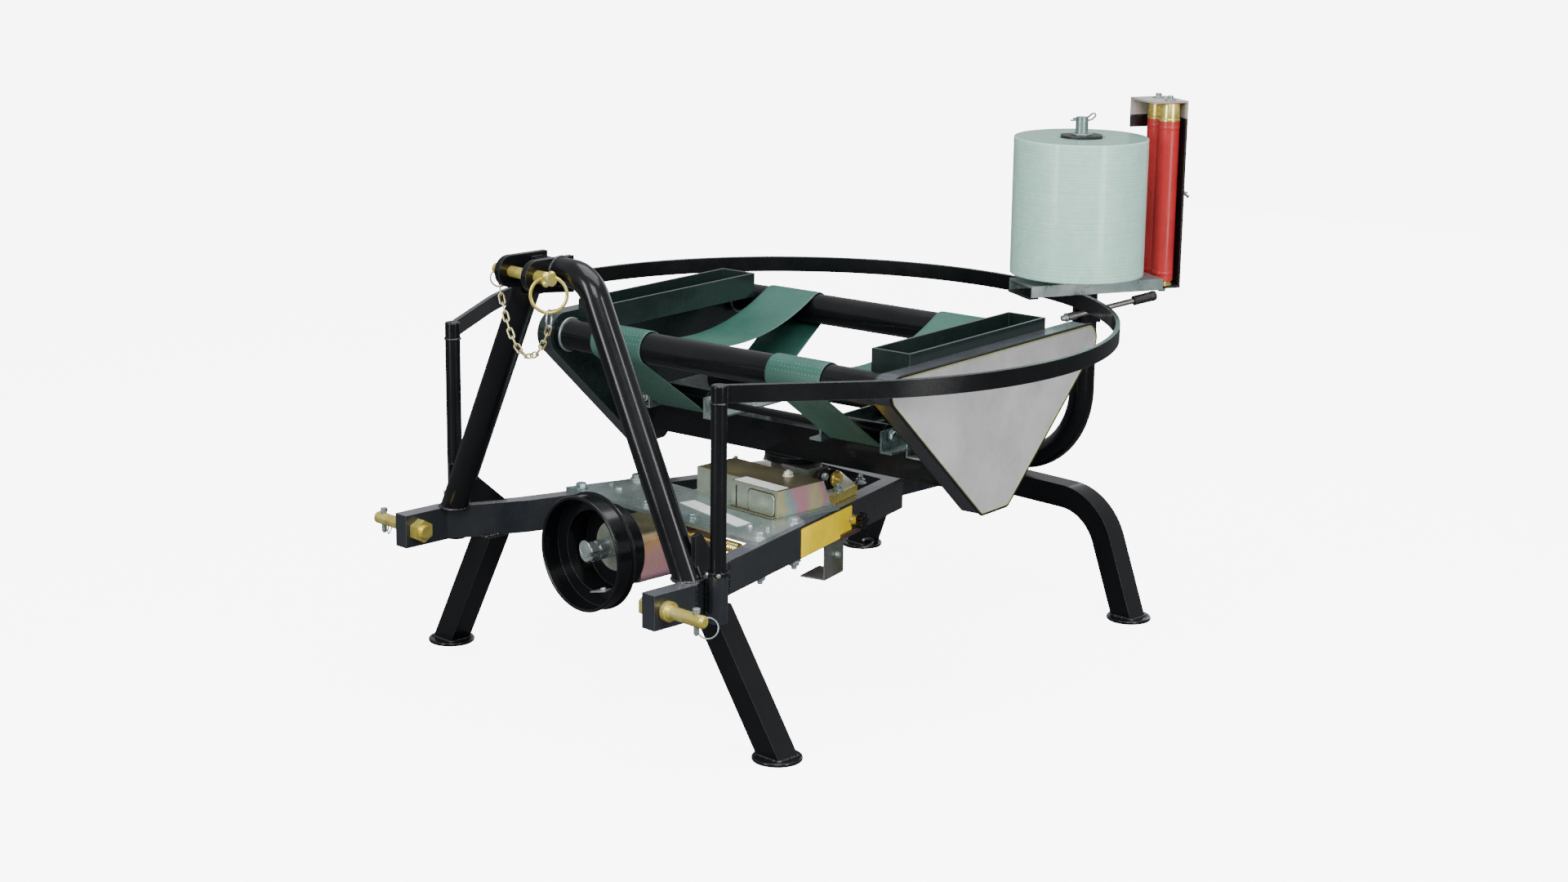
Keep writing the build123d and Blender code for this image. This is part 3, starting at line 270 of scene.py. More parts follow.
def grain_group():
    """Fine unevenness of a surface, as orange peel, casting grain or brushing, as a height."""
    tree, given, out = new_group("Grain", {"Scale": 60.0}, {"Height": 0.0})
    place = add(tree, "ShaderNodeTexCoord")
    grain = add(tree, "ShaderNodeTexNoise", Detail=2.0, Roughness=0.6)
    join(tree,
         (place.outputs["Object"], grain.inputs["Vector"]),
         (given.outputs["Scale"], grain.inputs["Scale"]),
         (grain.outputs[0], out.inputs["Height"]))
    return tree


def facing_group():
    """How far a face looks up and to the right, from 0 to 1 between two values of its normal."""
    tree, given, out = new_group("Facing", {"Low": 0.5, "High": 0.9}, {"Up": 0.0, "Right": 0.0})
    geometry = add(tree, "ShaderNodeNewGeometry")
    parts = add(tree, "ShaderNodeSeparateXYZ")
    join(tree, (geometry.outputs["True Normal"], parts.inputs[0]))
    for axis, name in (("Z", "Up"), ("X", "Right")):
        spread = add(tree, "ShaderNodeMapRange", clamp=True)
        join(tree,
             (given.outputs["Low"], spread.inputs["From Min"]),
             (given.outputs["High"], spread.inputs["From Max"]),
             (parts.outputs[axis], spread.inputs["Value"]),
             (spread.outputs[0], out.inputs[name]))
    return tree


SOFT_EDGES = soft_edges_group()
SMUDGES = smudge_group()
BLOOM = bloom_group()
GRAIN = grain_group()
FACING = facing_group()


# Materials

def new_material(name, roughness=0.4, metallic=0.0, coat=0.0):
    """A material with its plain values set, its node tree and its shader."""
    material = bpy.data.materials.new(name)
    material.use_nodes = True
    shader = material.node_tree.nodes["Principled BSDF"]
    shader.inputs["Roughness"].default_value = roughness
    shader.inputs["Metallic"].default_value = metallic
    shader.inputs["Coat Weight"].default_value = coat
    shader.inputs["Coat Roughness"].default_value = 0.08
    return material, material.node_tree, shader


def use_group(tree, group, **values):
    """A group placed in a tree, with its own values."""
    node = tree.nodes.new("ShaderNodeGroup")
    node.node_tree = group
    for name, value in values.items():
        node.inputs[name].default_value = value
    return node


def mixed(tree, factor, low, high):
    """Colour between low and high by a factor socket."""
    mix = add(tree, "ShaderNodeMix", data_type="RGBA")
    mix.inputs[MIX_LOW].default_value = low
    mix.inputs[MIX_HIGH].default_value = high
    join(tree, (factor, mix.inputs[0]))
    return mix.outputs[MIX_COLOR]


def scaled(color, share, lift=0.0):
    """A colour with its three channels multiplied and lifted."""
    return tuple(channel * share + lift for channel in color[:3]) + (1,)


def painted(name, color, edge_wear_and_highlight, roughness, edge, coat=0.4, gloss=0.5):
    """Enamel on steel: smudged gloss, soft light edges where the paint is thin; on the rail the light edge
    colour is a painted highlight.
    """
    material, tree, shader = new_material(name, coat=coat)
    shader.inputs["Specular IOR Level"].default_value = gloss
    smudge = use_group(tree, SMUDGES, Scale=7.0, Low=roughness * 0.8, High=roughness * 1.5)
    edges = use_group(tree, SOFT_EDGES, Radius=0.0016, Spread=edge)
    dusty = mixed(tree, smudge.outputs["Mask"], color, scaled(color, 1.35))
    edge_mix = add(tree, "ShaderNodeMix", data_type="RGBA")
    edge_mix.inputs[MIX_HIGH].default_value = edge_wear_and_highlight
    join(tree,
         (edges.outputs["Edge"], edge_mix.inputs[0]),
         (dusty, edge_mix.inputs[MIX_LOW]),
         (edge_mix.outputs[MIX_COLOR], shader.inputs["Base Color"]),
         (smudge.outputs["Value"], shader.inputs["Roughness"]),
         (edges.outputs["Normal"], shader.inputs["Normal"]))
    return material


def plated(name, base, second, third, roughness, scale=6.0, metallic=0.72):
    """Zinc plate, bright or passivated."""
    material, tree, shader = new_material(name, metallic=metallic)
    bloom = use_group(tree, BLOOM, Scale=scale, Base=base, Second=second, Third=third, Spangle=0.12)
    smudge = use_group(tree, SMUDGES, Scale=14.0, Low=roughness * 0.75, High=roughness * 1.4)
    edges = use_group(tree, SOFT_EDGES, Radius=0.0008, Spread=2.0)
    join(tree,
         (bloom.outputs["Color"], shader.inputs["Base Color"]),
         (smudge.outputs["Value"], shader.inputs["Roughness"]),
         (edges.outputs["Normal"], shader.inputs["Normal"]))
    return material


def with_bumps(material, scale, height):
    """Grain on a made material, its height in metres."""
    tree = material.node_tree
    shader = tree.nodes["Principled BSDF"]
    before = shader.inputs["Normal"].links[0].from_socket
    grain = use_group(tree, GRAIN, Scale=scale)
    bump = add(tree, "ShaderNodeBump", Strength=1.0, Distance=height)
    join(tree,
         (grain.outputs["Height"], bump.inputs["Height"]),
         (before, bump.inputs["Normal"]),
         (bump.outputs["Normal"], shader.inputs["Normal"]))


def above(tree, low, high):
    """How far a point lies above a height, from 0 to 1, in metres."""
    geometry = add(tree, "ShaderNodeNewGeometry")
    parts = add(tree, "ShaderNodeSeparateXYZ")
    spread = add(tree, "ShaderNodeMapRange", clamp=True)
    spread.inputs["From Min"].default_value = low
    spread.inputs["From Max"].default_value = high
    join(tree,
         (geometry.outputs["Position"], parts.inputs[0]),
         (parts.outputs["Z"], spread.inputs["Value"]))
    return spread.outputs[0]


def painted_top_sheen(material, color, share):
    """A paler colour on the faces of a made material that look up: a painted sheen, standing in for the
    light that these faces reflect.
    """
    tree = material.node_tree
    shader = tree.nodes["Principled BSDF"]
    before = shader.inputs["Base Color"].links[0].from_socket
    upwards = use_group(tree, FACING, Low=0.5, High=0.95)
    amount = add(tree, "ShaderNodeMath", operation="MULTIPLY")
    amount.inputs[1].default_value = share
    mix = add(tree, "ShaderNodeMix", data_type="RGBA")
    mix.inputs[MIX_HIGH].default_value = color
    join(tree,
         (upwards.outputs["Up"], amount.inputs[0]),
         (amount.outputs[0], mix.inputs[0]),
         (before, mix.inputs[MIX_LOW]),
         (mix.outputs[MIX_COLOR], shader.inputs["Base Color"]))


def chain_plated(name):
    """Pale yellow zinc on the chain's links, and bright wire on its two split rings."""
    material = plated(name, (0.80, 0.74, 0.36, 1), (0.88, 0.84, 0.52, 1), (0.70, 0.56, 0.28, 1),
                      roughness=0.24, scale=40.0)
    tree = material.node_tree
    shader = tree.nodes["Principled BSDF"]
    before = shader.inputs["Base Color"].links[0].from_socket
    geometry = add(tree, "ShaderNodeNewGeometry")
    parts = add(tree, "ShaderNodeSeparateXYZ")
    join(tree, (geometry.outputs["Position"], parts.inputs[0]))
    masks = []
    for operation, x, z in (("GREATER_THAN", 0.040, 0.697), ("LESS_THAN", -0.040, 0.750)):
        beside = add(tree, "ShaderNodeMath", operation=operation)
        higher = add(tree, "ShaderNodeMath", operation="GREATER_THAN")
        both = add(tree, "ShaderNodeMath", operation="MULTIPLY")
        beside.inputs[1].default_value = x
        higher.inputs[1].default_value = z
        join(tree,
             (parts.outputs["X"], beside.inputs[0]),
             (parts.outputs["Z"], higher.inputs[0]),
             (beside.outputs[0], both.inputs[0]),
             (higher.outputs[0], both.inputs[1]))
        masks.append(both)
    either = add(tree, "ShaderNodeMath", operation="ADD", use_clamp=True)
    wire = add(tree, "ShaderNodeMix", data_type="RGBA")
    wire.inputs[MIX_HIGH].default_value = (0.66, 0.67, 0.66, 1)
    join(tree,
         (masks[0].outputs[0], either.inputs[0]),
         (masks[1].outputs[0], either.inputs[1]),
         (either.outputs[0], wire.inputs[0]),
         (before, wire.inputs[MIX_LOW]),
         (wire.outputs[MIX_COLOR], shader.inputs["Base Color"]))
    return material


def rainbow_plated(name, tints, axis, start, length, scale):
    """Yellow passivated zinc, coloured by which way each face looks: olive on top, grey green in front,
    bands on the right.

    The bands run through the tints along an axis, from start over a length in metres.
    """
    material, tree, shader = new_material(name, metallic=0.6)
    place = add(tree, "ShaderNodeTexCoord")
    warp = add(tree, "ShaderNodeTexNoise", Scale=scale, Detail=2.0, Distortion=0.9)
    fine = add(tree, "ShaderNodeTexNoise", Scale=scale * 3, Detail=3.0)
    edges = use_group(tree, SOFT_EDGES, Radius=0.0013, Spread=2.0)
    world = add(tree, "ShaderNodeNewGeometry")
    parts = add(tree, "ShaderNodeSeparateXYZ")
    run = add(tree, "ShaderNodeMapRange", clamp=False)
    run.inputs["From Min"].default_value = start
    run.inputs["From Max"].default_value = start + length
    lift = add(tree, "ShaderNodeMath", operation="MULTIPLY_ADD")
    lift.inputs[1].default_value = 0.9
    level = add(tree, "ShaderNodeMath", operation="SUBTRACT")
    level.inputs[1].default_value = 0.45
    ramp = add(tree, "ShaderNodeValToRGB")
    bands = ramp.color_ramp.elements
    while len(bands) < len(tints):
        bands.new(0.5)
    for order, (band, color) in enumerate(zip(bands, tints)):
        band.position = order / (len(tints) - 1)
        band.color = color
    front = mixed(tree, fine.outputs[0], (0.22, 0.28, 0.22, 1), (0.52, 0.56, 0.47, 1))
    top = mixed(tree, warp.outputs[0], OLIVE_DARK, OLIVE)
    to_right = use_group(tree, FACING, Low=0.3, High=0.6)
    upwards = use_group(tree, FACING, Low=0.6, High=0.9)
    sided = add(tree, "ShaderNodeMix", data_type="RGBA")
    topped = add(tree, "ShaderNodeMix", data_type="RGBA")
    smudge = use_group(tree, SMUDGES, Scale=12.0, Low=0.24, High=0.44)
    edge = add(tree, "ShaderNodeMix", data_type="RGBA")
    edge.inputs[MIX_HIGH].default_value = (0.86, 0.76, 0.14, 1)
    join(tree,
         (place.outputs["Object"], warp.inputs["Vector"]),
         (place.outputs["Object"], fine.inputs["Vector"]),
         (world.outputs["Position"], parts.inputs[0]),
         (parts.outputs[axis], run.inputs["Value"]),
         (warp.outputs[0], lift.inputs[0]),
         (run.outputs[0], lift.inputs[2]),
         (lift.outputs[0], level.inputs[0]),
         (level.outputs[0], ramp.inputs[0]),
         (to_right.outputs["Right"], sided.inputs[0]),
         (front, sided.inputs[MIX_LOW]),
         (ramp.outputs[0], sided.inputs[MIX_HIGH]),
         (upwards.outputs["Up"], topped.inputs[0]),
         (sided.outputs[MIX_COLOR], topped.inputs[MIX_LOW]),
         (top, topped.inputs[MIX_HIGH]),
         (edges.outputs["Edge"], edge.inputs[0]),
         (topped.outputs[MIX_COLOR], edge.inputs[MIX_LOW]),
         (edge.outputs[MIX_COLOR], shader.inputs["Base Color"]),
         (smudge.outputs["Value"], shader.inputs["Roughness"]),
         (edges.outputs["Normal"], shader.inputs["Normal"]))
    return material


def wound_film(name):
    """Film on its roll: fine windings up the side, rings and creases on the top."""
    material, tree, shader = new_material(name, roughness=0.34, coat=0.35)
    place = add(tree, "ShaderNodeNewGeometry")
    parts = add(tree, "ShaderNodeSeparateXYZ")
    middle = add(tree, "ShaderNodeVectorMath", operation="SUBTRACT")
    middle.inputs[1].default_value = film_centre
    flat = add(tree, "ShaderNodeVectorMath", operation="MULTIPLY")
    flat.inputs[1].default_value = (1, 1, 0)
    reach = add(tree, "ShaderNodeVectorMath", operation="LENGTH")
    side = add(tree, "ShaderNodeTexNoise", noise_dimensions="1D", Scale=420.0, Detail=4.0, Roughness=0.7)
    rings = add(tree, "ShaderNodeTexNoise", noise_dimensions="1D", Scale=300.0, Detail=3.0, Roughness=0.7)
    creases = add(tree, "ShaderNodeTexNoise", Scale=26.0, Detail=3.0, Distortion=2.0)
    up = use_group(tree, FACING, Low=0.6, High=0.9).outputs["Up"]
    dim = add(tree, "ShaderNodeMix", data_type="RGBA", blend_type="MULTIPLY")
    dim.inputs[MIX_HIGH].default_value = (0.42, 0.46, 0.45, 1)
    both = add(tree, "ShaderNodeMix", data_type="FLOAT")
    veined = add(tree, "ShaderNodeMath", operation="MULTIPLY_ADD")
    veined.inputs[1].default_value = 0.5
    tint = add(tree, "ShaderNodeValToRGB")
    thin, full = tint.color_ramp.elements
    thin.position = 0.38
    thin.color = (0.36, 0.62, 0.53, 1)
    full.color = (0.62, 0.98, 0.84, 1)
    bump = add(tree, "ShaderNodeBump", Strength=0.5, Distance=0.0006)
    edges = use_group(tree, SOFT_EDGES, Radius=0.004, Spread=1.0)
    join(tree,
         (place.outputs["Position"], parts.inputs[0]),
         (parts.outputs["Z"], side.inputs["W"]),
         (place.outputs["Position"], middle.inputs[0]),
         (middle.outputs[0], flat.inputs[0]),
         (flat.outputs[0], reach.inputs[0]),
         (reach.outputs["Value"], rings.inputs["W"]),
         (place.outputs["Position"], creases.inputs["Vector"]),
         (up, both.inputs[0]),
         (side.outputs[0], both.inputs[2]),
         (rings.outputs[0], both.inputs[3]),
         (creases.outputs[0], veined.inputs[0]),
         (both.outputs[0], veined.inputs[2]),
         (veined.outputs[0], tint.inputs[0]),
         (up, dim.inputs[0]),
         (tint.outputs[0], dim.inputs[MIX_LOW]),
         (dim.outputs[MIX_COLOR], shader.inputs["Base Color"]),
         (veined.outputs[0], bump.inputs["Height"]),
         (edges.outputs["Normal"], bump.inputs["Normal"]),
         (bump.outputs["Normal"], shader.inputs["Normal"]))
    return material


def woven_belt(name):
    """Green belting: cross ribs of its fabric, scuffs and a paler raw edge; the paler underside is painted
    light, standing in for the light that the floor throws up on it.
    """
    material, tree, shader = new_material(name)
    place = add(tree, "ShaderNodeTexCoord")
    ribs = add(tree, "ShaderNodeTexWave", Scale=140.0, Distortion=0.6, Detail=1.0, bands_direction="X")
    rows = add(tree, "ShaderNodeTexWave", Scale=140.0, Distortion=0.6, Detail=1.0, bands_direction="Z")
    cloth = add(tree, "ShaderNodeMath", operation="MULTIPLY")
    smudge = use_group(tree, SMUDGES, Scale=5.0, Low=0.42, High=0.62)
    edges = use_group(tree, SOFT_EDGES, Radius=0.0016, Spread=1.6)
    bump = add(tree, "ShaderNodeBump", Strength=0.35, Distance=0.0004)
    scuffed = mixed(tree, smudge.outputs["Mask"], BELT_COLOR, BELT_SCUFF)
    # Painted light: faces that look down get a paler green, standing in for the light from the floor.
    upwards = use_group(tree, FACING, Low=-0.2, High=0.5)
    underside_light_mix = add(tree, "ShaderNodeMix", data_type="RGBA")
    underside_light_mix.inputs[MIX_LOW].default_value = BELT_UNDERSIDE_LIGHT
    pale = add(tree, "ShaderNodeMix", data_type="RGBA")
    pale.inputs[MIX_HIGH].default_value = (0.30, 0.42, 0.38, 1)
    join(tree,
         (place.outputs["Object"], ribs.inputs["Vector"]),
         (place.outputs["Object"], rows.inputs["Vector"]),
         (ribs.outputs["Fac"], cloth.inputs[0]),
         (rows.outputs["Fac"], cloth.inputs[1]),
         (cloth.outputs[0], bump.inputs["Height"]),
         (edges.outputs["Edge"], pale.inputs[0]),
         (upwards.outputs["Up"], underside_light_mix.inputs[0]),
         (scuffed, underside_light_mix.inputs[MIX_HIGH]),
         (underside_light_mix.outputs[MIX_COLOR], pale.inputs[MIX_LOW]),
         (pale.outputs[MIX_COLOR], shader.inputs["Base Color"]),
         (smudge.outputs["Value"], shader.inputs["Roughness"]),
         (edges.outputs["Normal"], bump.inputs["Normal"]),
         (bump.outputs["Normal"], shader.inputs["Normal"]))
    return material


def two_tone(name, low, high, height, roughness):
    """A finish that changes at a height, as where one pressed part ends and the next begins."""
    material, tree, shader = new_material(name, coat=0.3)
    smudge = use_group(tree, SMUDGES, Scale=8.0, Low=roughness * 0.8, High=roughness * 1.4)
    edges = use_group(tree, SOFT_EDGES, Radius=0.0014, Spread=1.6)
    tone = mixed(tree, above(tree, height - 0.0002, height + 0.0002), low, high)
    edge_mix = add(tree, "ShaderNodeMix", data_type="RGBA")
    edge_mix.inputs[MIX_HIGH].default_value = scaled(high, 1.25, 0.05)
    half = add(tree, "ShaderNodeMath", operation="MULTIPLY")
    half.inputs[1].default_value = 0.5
    join(tree,
         (edges.outputs["Edge"], half.inputs[0]),
         (half.outputs[0], edge_mix.inputs[0]),
         (tone, edge_mix.inputs[MIX_LOW]),
         (edge_mix.outputs[MIX_COLOR], shader.inputs["Base Color"]),
         (smudge.outputs["Value"], shader.inputs["Roughness"]),
         (edges.outputs["Normal"], shader.inputs["Normal"]))
    return material


# Tints of the passivated zinc, the belts and the hood
ORANGE = (0.78, 0.46, 0.24, 1)
PURPLE = (0.44, 0.27, 0.44, 1)
OLIVE_DARK = (0.060, 0.056, 0.036, 1)
OLIVE = (0.17, 0.15, 0.075, 1)
PALE_YELLOW = (0.80, 0.76, 0.42, 1)
PINK = (0.80, 0.42, 0.48, 1)
BLUE_GREY = (0.42, 0.62, 0.64, 1)
BELT_COLOR = (0.018, 0.084, 0.063, 1)
BELT_SCUFF = (0.030, 0.110, 0.084, 1)
# Painted light: the paler green on the belts' undersides stands in for light from the floor.
BELT_UNDERSIDE_LIGHT = (0.060, 0.150, 0.115, 1)
HOOD_BLACK = (0.008, 0.0085, 0.010, 1)
HOOD_MAUVE = (0.40, 0.36, 0.345, 1)

# Paints
black_paint = painted("gloss black paint", (0.0045, 0.005, 0.006, 1), (0.075, 0.085, 0.09, 1),
                      roughness=0.20, edge=3.0, coat=0.22, gloss=0.22)
with_bumps(black_paint, scale=60.0, height=0.00008)

slate_paint = painted("slate black beam paint", (0.015, 0.0175, 0.021, 1), (0.15, 0.16, 0.19, 1),
                      roughness=0.24, edge=3.0)
with_bumps(slate_paint, scale=40.0, height=0.00004)
# Painted sheen: the beams' tops are paler, standing in for reflected light.
painted_top_sheen(slate_paint, (0.17, 0.17, 0.20, 1), share=0.55)

# Painted highlight: the rail's pale edge colour stands in for the light line along its top edge.
rail_paint = painted("black rail paint with painted edge highlight", (0.005, 0.0055, 0.006, 1), (0.22, 0.25, 0.28, 1),
                     roughness=0.22, edge=3.0, coat=0.25, gloss=0.25)
with_bumps(rail_paint, scale=40.0, height=0.00004)

bead_black = painted("black paint on beads and bars", (0.006, 0.0065, 0.0075, 1), (0.02, 0.02, 0.022, 1),
                     roughness=0.24, edge=0.3)

strip_paint = painted("red brown primer", (0.075, 0.032, 0.026, 1), (0.22, 0.15, 0.13, 1),
                      roughness=0.42, edge=2.0, coat=0.1)
with_bumps(strip_paint, scale=120.0, height=0.0001)

case_paint = painted("slate case paint", (0.034, 0.037, 0.045, 1), (0.16, 0.17, 0.18, 1),
                     roughness=0.28, edge=3.0)
with_bumps(case_paint, scale=40.0, height=0.00004)

pan_paint = painted("dark green pan paint", (0.0085, 0.017, 0.0155, 1), (0.14, 0.18, 0.17, 1),
                    roughness=0.24, edge=3.0)
with_bumps(pan_paint, scale=40.0, height=0.00006)

face_paint = painted("light grey cover paint", (0.47, 0.455, 0.455, 1), (0.55, 0.55, 0.50, 1),
                     roughness=0.40, edge=1.2, coat=0.15)
with_bumps(face_paint, scale=60.0, height=0.0001)

cast_paint = painted("cast housing paint", (0.055, 0.060, 0.062, 1), (0.2, 0.2, 0.2, 1),
                     roughness=0.40, edge=2.0)
with_bumps(cast_paint, scale=160.0, height=0.0005)

hood_grey = two_tone("hood grey over black", HOOD_BLACK, HOOD_MAUVE, height=0.9555, roughness=0.30)

# Plated and turned steel
blue_zinc = plated("blue white zinc",
                   (0.40, 0.48, 0.47, 1), (0.62, 0.68, 0.67, 1), (0.28, 0.37, 0.36, 1),
                   roughness=0.30)
gold_zinc = plated("yellow zinc plate",
                   (0.92, 0.76, 0.14, 1), (0.95, 0.88, 0.34, 1), (0.78, 0.58, 0.14, 1),
                   roughness=0.24, scale=30.0)
cream_zinc = plated("cream hub plate zinc",
                    (0.70, 0.72, 0.60, 1), (0.82, 0.82, 0.72, 1), (0.66, 0.60, 0.44, 1),
                    roughness=0.36, scale=12.0, metallic=0.4)
olive_zinc = plated("olive iridescent zinc",
                    (0.20, 0.21, 0.13, 1), (0.34, 0.27, 0.29, 1), (0.15, 0.22, 0.18, 1),
                    roughness=0.30, scale=9.0)
dark_steel = plated("dark turned steel",
                    (0.10, 0.105, 0.11, 1), (0.16, 0.165, 0.17, 1), (0.07, 0.07, 0.075, 1),
                    roughness=0.34, scale=40.0)
chain_zinc = chain_plated("pale yellow chain zinc")
rainbow_zinc = rainbow_plated("rainbow passivated zinc",
                              (PALE_YELLOW, BLUE_GREY, PINK, PINK, PALE_YELLOW, PINK, BLUE_GREY),
                              axis="Y", start=hitch_y + 0.455, length=0.137, scale=11.0)
gearbox_zinc = rainbow_plated("orange passivated gearbox", (PURPLE, PINK, ORANGE, OLIVE),
                              axis="Z", start=0.19, length=0.12, scale=9.0)

# Belts, film, rubber, plastic and labels
belt_green = woven_belt("belt green")
thread_grey = painted("stitching thread", (0.16, 0.30, 0.25, 1), (0.20, 0.34, 0.29, 1),
                      roughness=0.6, edge=0.3, coat=0.0)
film_white = wound_film("wound film")

red_rubber = painted("red rubber", (0.46, 0.022, 0.024, 1), (0.58, 0.07, 0.06, 1),
                     roughness=0.36, edge=1.0, coat=0.15)
with_bumps(red_rubber, scale=120.0, height=0.0002)

soft_black = painted("soft black plastic", (0.012, 0.012, 0.013, 1), (0.05, 0.05, 0.055, 1),
                     roughness=0.42, edge=2.0, coat=0.0)
with_bumps(soft_black, scale=220.0, height=0.0002)

yellow_plate = painted("blank yellow plate", (1.0, 0.72, 0.0, 1), (1.0, 0.80, 0.10, 1),
                       roughness=0.55, edge=1.0, coat=0.0)
with_bumps(yellow_plate, scale=70.0, height=0.00006)

white_label = painted("blank white label", (0.70, 0.71, 0.72, 1), (0.78, 0.78, 0.78, 1),
                      roughness=0.38, edge=1.0, coat=0.2)
with_bumps(white_label, scale=50.0, height=0.00006)

edge_lime = painted("lime edge film", (0.36, 0.42, 0.10, 1), (0.42, 0.48, 0.16, 1),
                    roughness=0.4, edge=1.0, coat=0.2)
# Black that stands in for the shade in slits and seams: painted shade.
painted_shade_black = painted("shaded gap", (0.003, 0.003, 0.003, 1), (0.006, 0.006, 0.006, 1),
                   roughness=0.7, edge=0.2, coat=0.0)

# The finish of each material slot in the record
FINISHES = {
    "black_paint": black_paint,
    "gold_zinc": gold_zinc,
    "bright_zinc": blue_zinc,
    "yellow_zinc": olive_zinc,
    "green_belt": belt_green,
    "grey_paint": face_paint,
    "film": film_white,
    "red_rubber": red_rubber,
    "cast_grey": cast_paint,
}

# Nodes whose finish isn't that of their slot
SPECIAL = {
    "left_beam": slate_paint,
    "right_beam": slate_paint,
    "rear_frame": slate_paint,
    "left_trough": pan_paint,
    "right_trough": pan_paint,
    "left_side_plate": pan_paint,
    "right_side_plate": pan_paint,
    "left_side_flange": pan_paint,
    "guard_rail": rail_paint,
    "chain_case": case_paint,
    "pin_chain": chain_zinc,
    "drive_cover": rainbow_zinc,
    "gearbox": gearbox_zinc,
    "hub_plate": cream_zinc,
    "beam_strip": strip_paint,
    "film_cap": soft_black,
    "roller_frame": hood_grey,
    "dispenser_strap": black_paint,
    "drive_plate": blue_zinc,
    "dispenser_lever": olive_zinc,
}


def finish_nodes():
    """Every CAD node gets its finish: its own, or that of its slot in the record."""
    for part in frame["record"]["subparts"]:
        material = SPECIAL.get(part["node"], FINISHES[part["material_slot"]])
        node = nodes[part["node"]]
        node.data.materials.clear()
        node.data.materials.append(material)


finish_nodes()


# Places and mesh helpers

def at(x, y, z):
    """A point given in millimetres from the hitch."""
    return Vector((x / 1000, hitch_y + y / 1000, z / 1000))


def on_table(x, y, z):
    """A point given in millimetres along and across the turntable."""
    turn = Matrix.Rotation(table_turn, 3, "Z")
    return table_centre + turn @ Vector((x, y, z)) / 1000


def at_film(x, y, z):
    """A point given in millimetres along and across the dispenser's base, from the roll."""
    turn = Matrix.Rotation(base_turn, 3, "Z")
    return film_centre + turn @ Vector((x, y, z)) / 1000


def table_x(side):
    """The table's own X direction, to its right or its left side."""
    return Vector((cos(table_turn), sin(table_turn), 0)) * side


def table_y():
    """The table's own Y direction."""
    return Vector((-sin(table_turn), cos(table_turn), 0))


def beam_side(y, z, out=0.0):
    """A matrix on the right beam's outer face: X along the beam, Y up, Z outwards."""
    along = Vector((-sin(beam_angle), cos(beam_angle), 0))
    away = Vector((cos(beam_angle), sin(beam_angle), 0))
    turn = Matrix((along, Vector((0, 0, 1)), away)).transposed().to_4x4()
    return Matrix.Translation(at(beam_outer(y), y, z) + away * out / 1000) @ turn


def facing(place, direction, roll=0.0):
    """A matrix at a place, with its own Z along a direction."""
    turn = Vector(direction).to_track_quat("Z", "Y").to_matrix().to_4x4()
    return Matrix.Translation(place) @ turn @ Matrix.Rotation(roll, 4, "Z")


def skin(mesh, rings, looped=False, capped=True):
    """Faces between rings of as many points each; the first and last are closed if capped."""
    made = [[mesh.verts.new(point) for point in ring] for ring in rings]
    pairs = list(zip(made, made[1:]))
    if looped:
        pairs.append((made[-1], made[0]))
    for near, far in pairs:
        for place in range(len(near)):
            after = (place + 1) % len(near)
            mesh.faces.new((near[place], near[after], far[after], far[place]))
    if capped and not looped:
        mesh.faces.new(list(reversed(made[0])))
        mesh.faces.new(made[-1])


def circle_points(matrix, radius, steps, height=0.0):
    """Points round a circle in a matrix's own XY plane, or above it; sizes in millimetres."""
    ring = []
    for step in range(steps):
        angle = 2 * pi * step / steps
        ring.append(matrix @ (Vector((radius * cos(angle), radius * sin(angle), height)) / 1000))
    return ring


def turned(mesh, matrix, profile, steps=24):
    """A turned shape from (radius, height) points in millimetres."""
    skin(mesh, [circle_points(matrix, radius, steps, height) for radius, height in profile])


def hexagonal(mesh, matrix, flats, bottom, top):
    """A hexagon bar with its top corners turned off, in millimetres."""
    chamfer = flats * 0.07
    sharp = 2.0
    turned_off = 0.96
    rings = []
    for height, limit in ((bottom, sharp), (top - chamfer, sharp), (top, turned_off)):
        ring = []
        for step in range(36):
            angle = radians(10 * step)
            reach = flats / 2 / cos((angle % radians(60)) - radians(30))
            reach = min(reach, flats / 2 * limit)
            ring.append(matrix @ (Vector((reach * cos(angle), reach * sin(angle), height)) / 1000))
        rings.append(ring)
    skin(mesh, rings)


def bolt(mesh, matrix, flats, washer=0.0, dome=0.0):
    """Hexagon head, on a washer if that has a width; with a dome it is a nut and its thread's end."""
    base = 0.0
    if washer:
        rim = washer / 2
        turned(mesh, matrix, [(rim - 0.3, 0), (rim, 0.3), (rim, 1.6), (rim - 0.4, 2.0)], 28)
        base = 2.0
    top = base + flats * 0.42
    hexagonal(mesh, matrix, flats, base, top)
    if dome:
        thread(mesh, matrix, flats * 0.29, top - 0.5, top + dome)
    else:
        turned(mesh, matrix, [(flats * 0.36, top - 0.1), (flats * 0.34, top + 0.25)], 20)


def thread(mesh, matrix, radius, bottom, top):
    """A bar with thread grooves, in millimetres."""
    pitch = 1.5
    profile = [(radius * 0.9, bottom)]
    turns = max(1, int((top - bottom) / pitch) - 1)
    for turn in range(turns):
        start = bottom + pitch * turn
        profile += [(radius * 0.88, start + pitch * 0.25), (radius, start + pitch * 0.75)]
    profile += [(radius * 0.88, top - pitch * 0.5), (radius * 0.7, top)]
    turned(mesh, matrix, profile, 20)


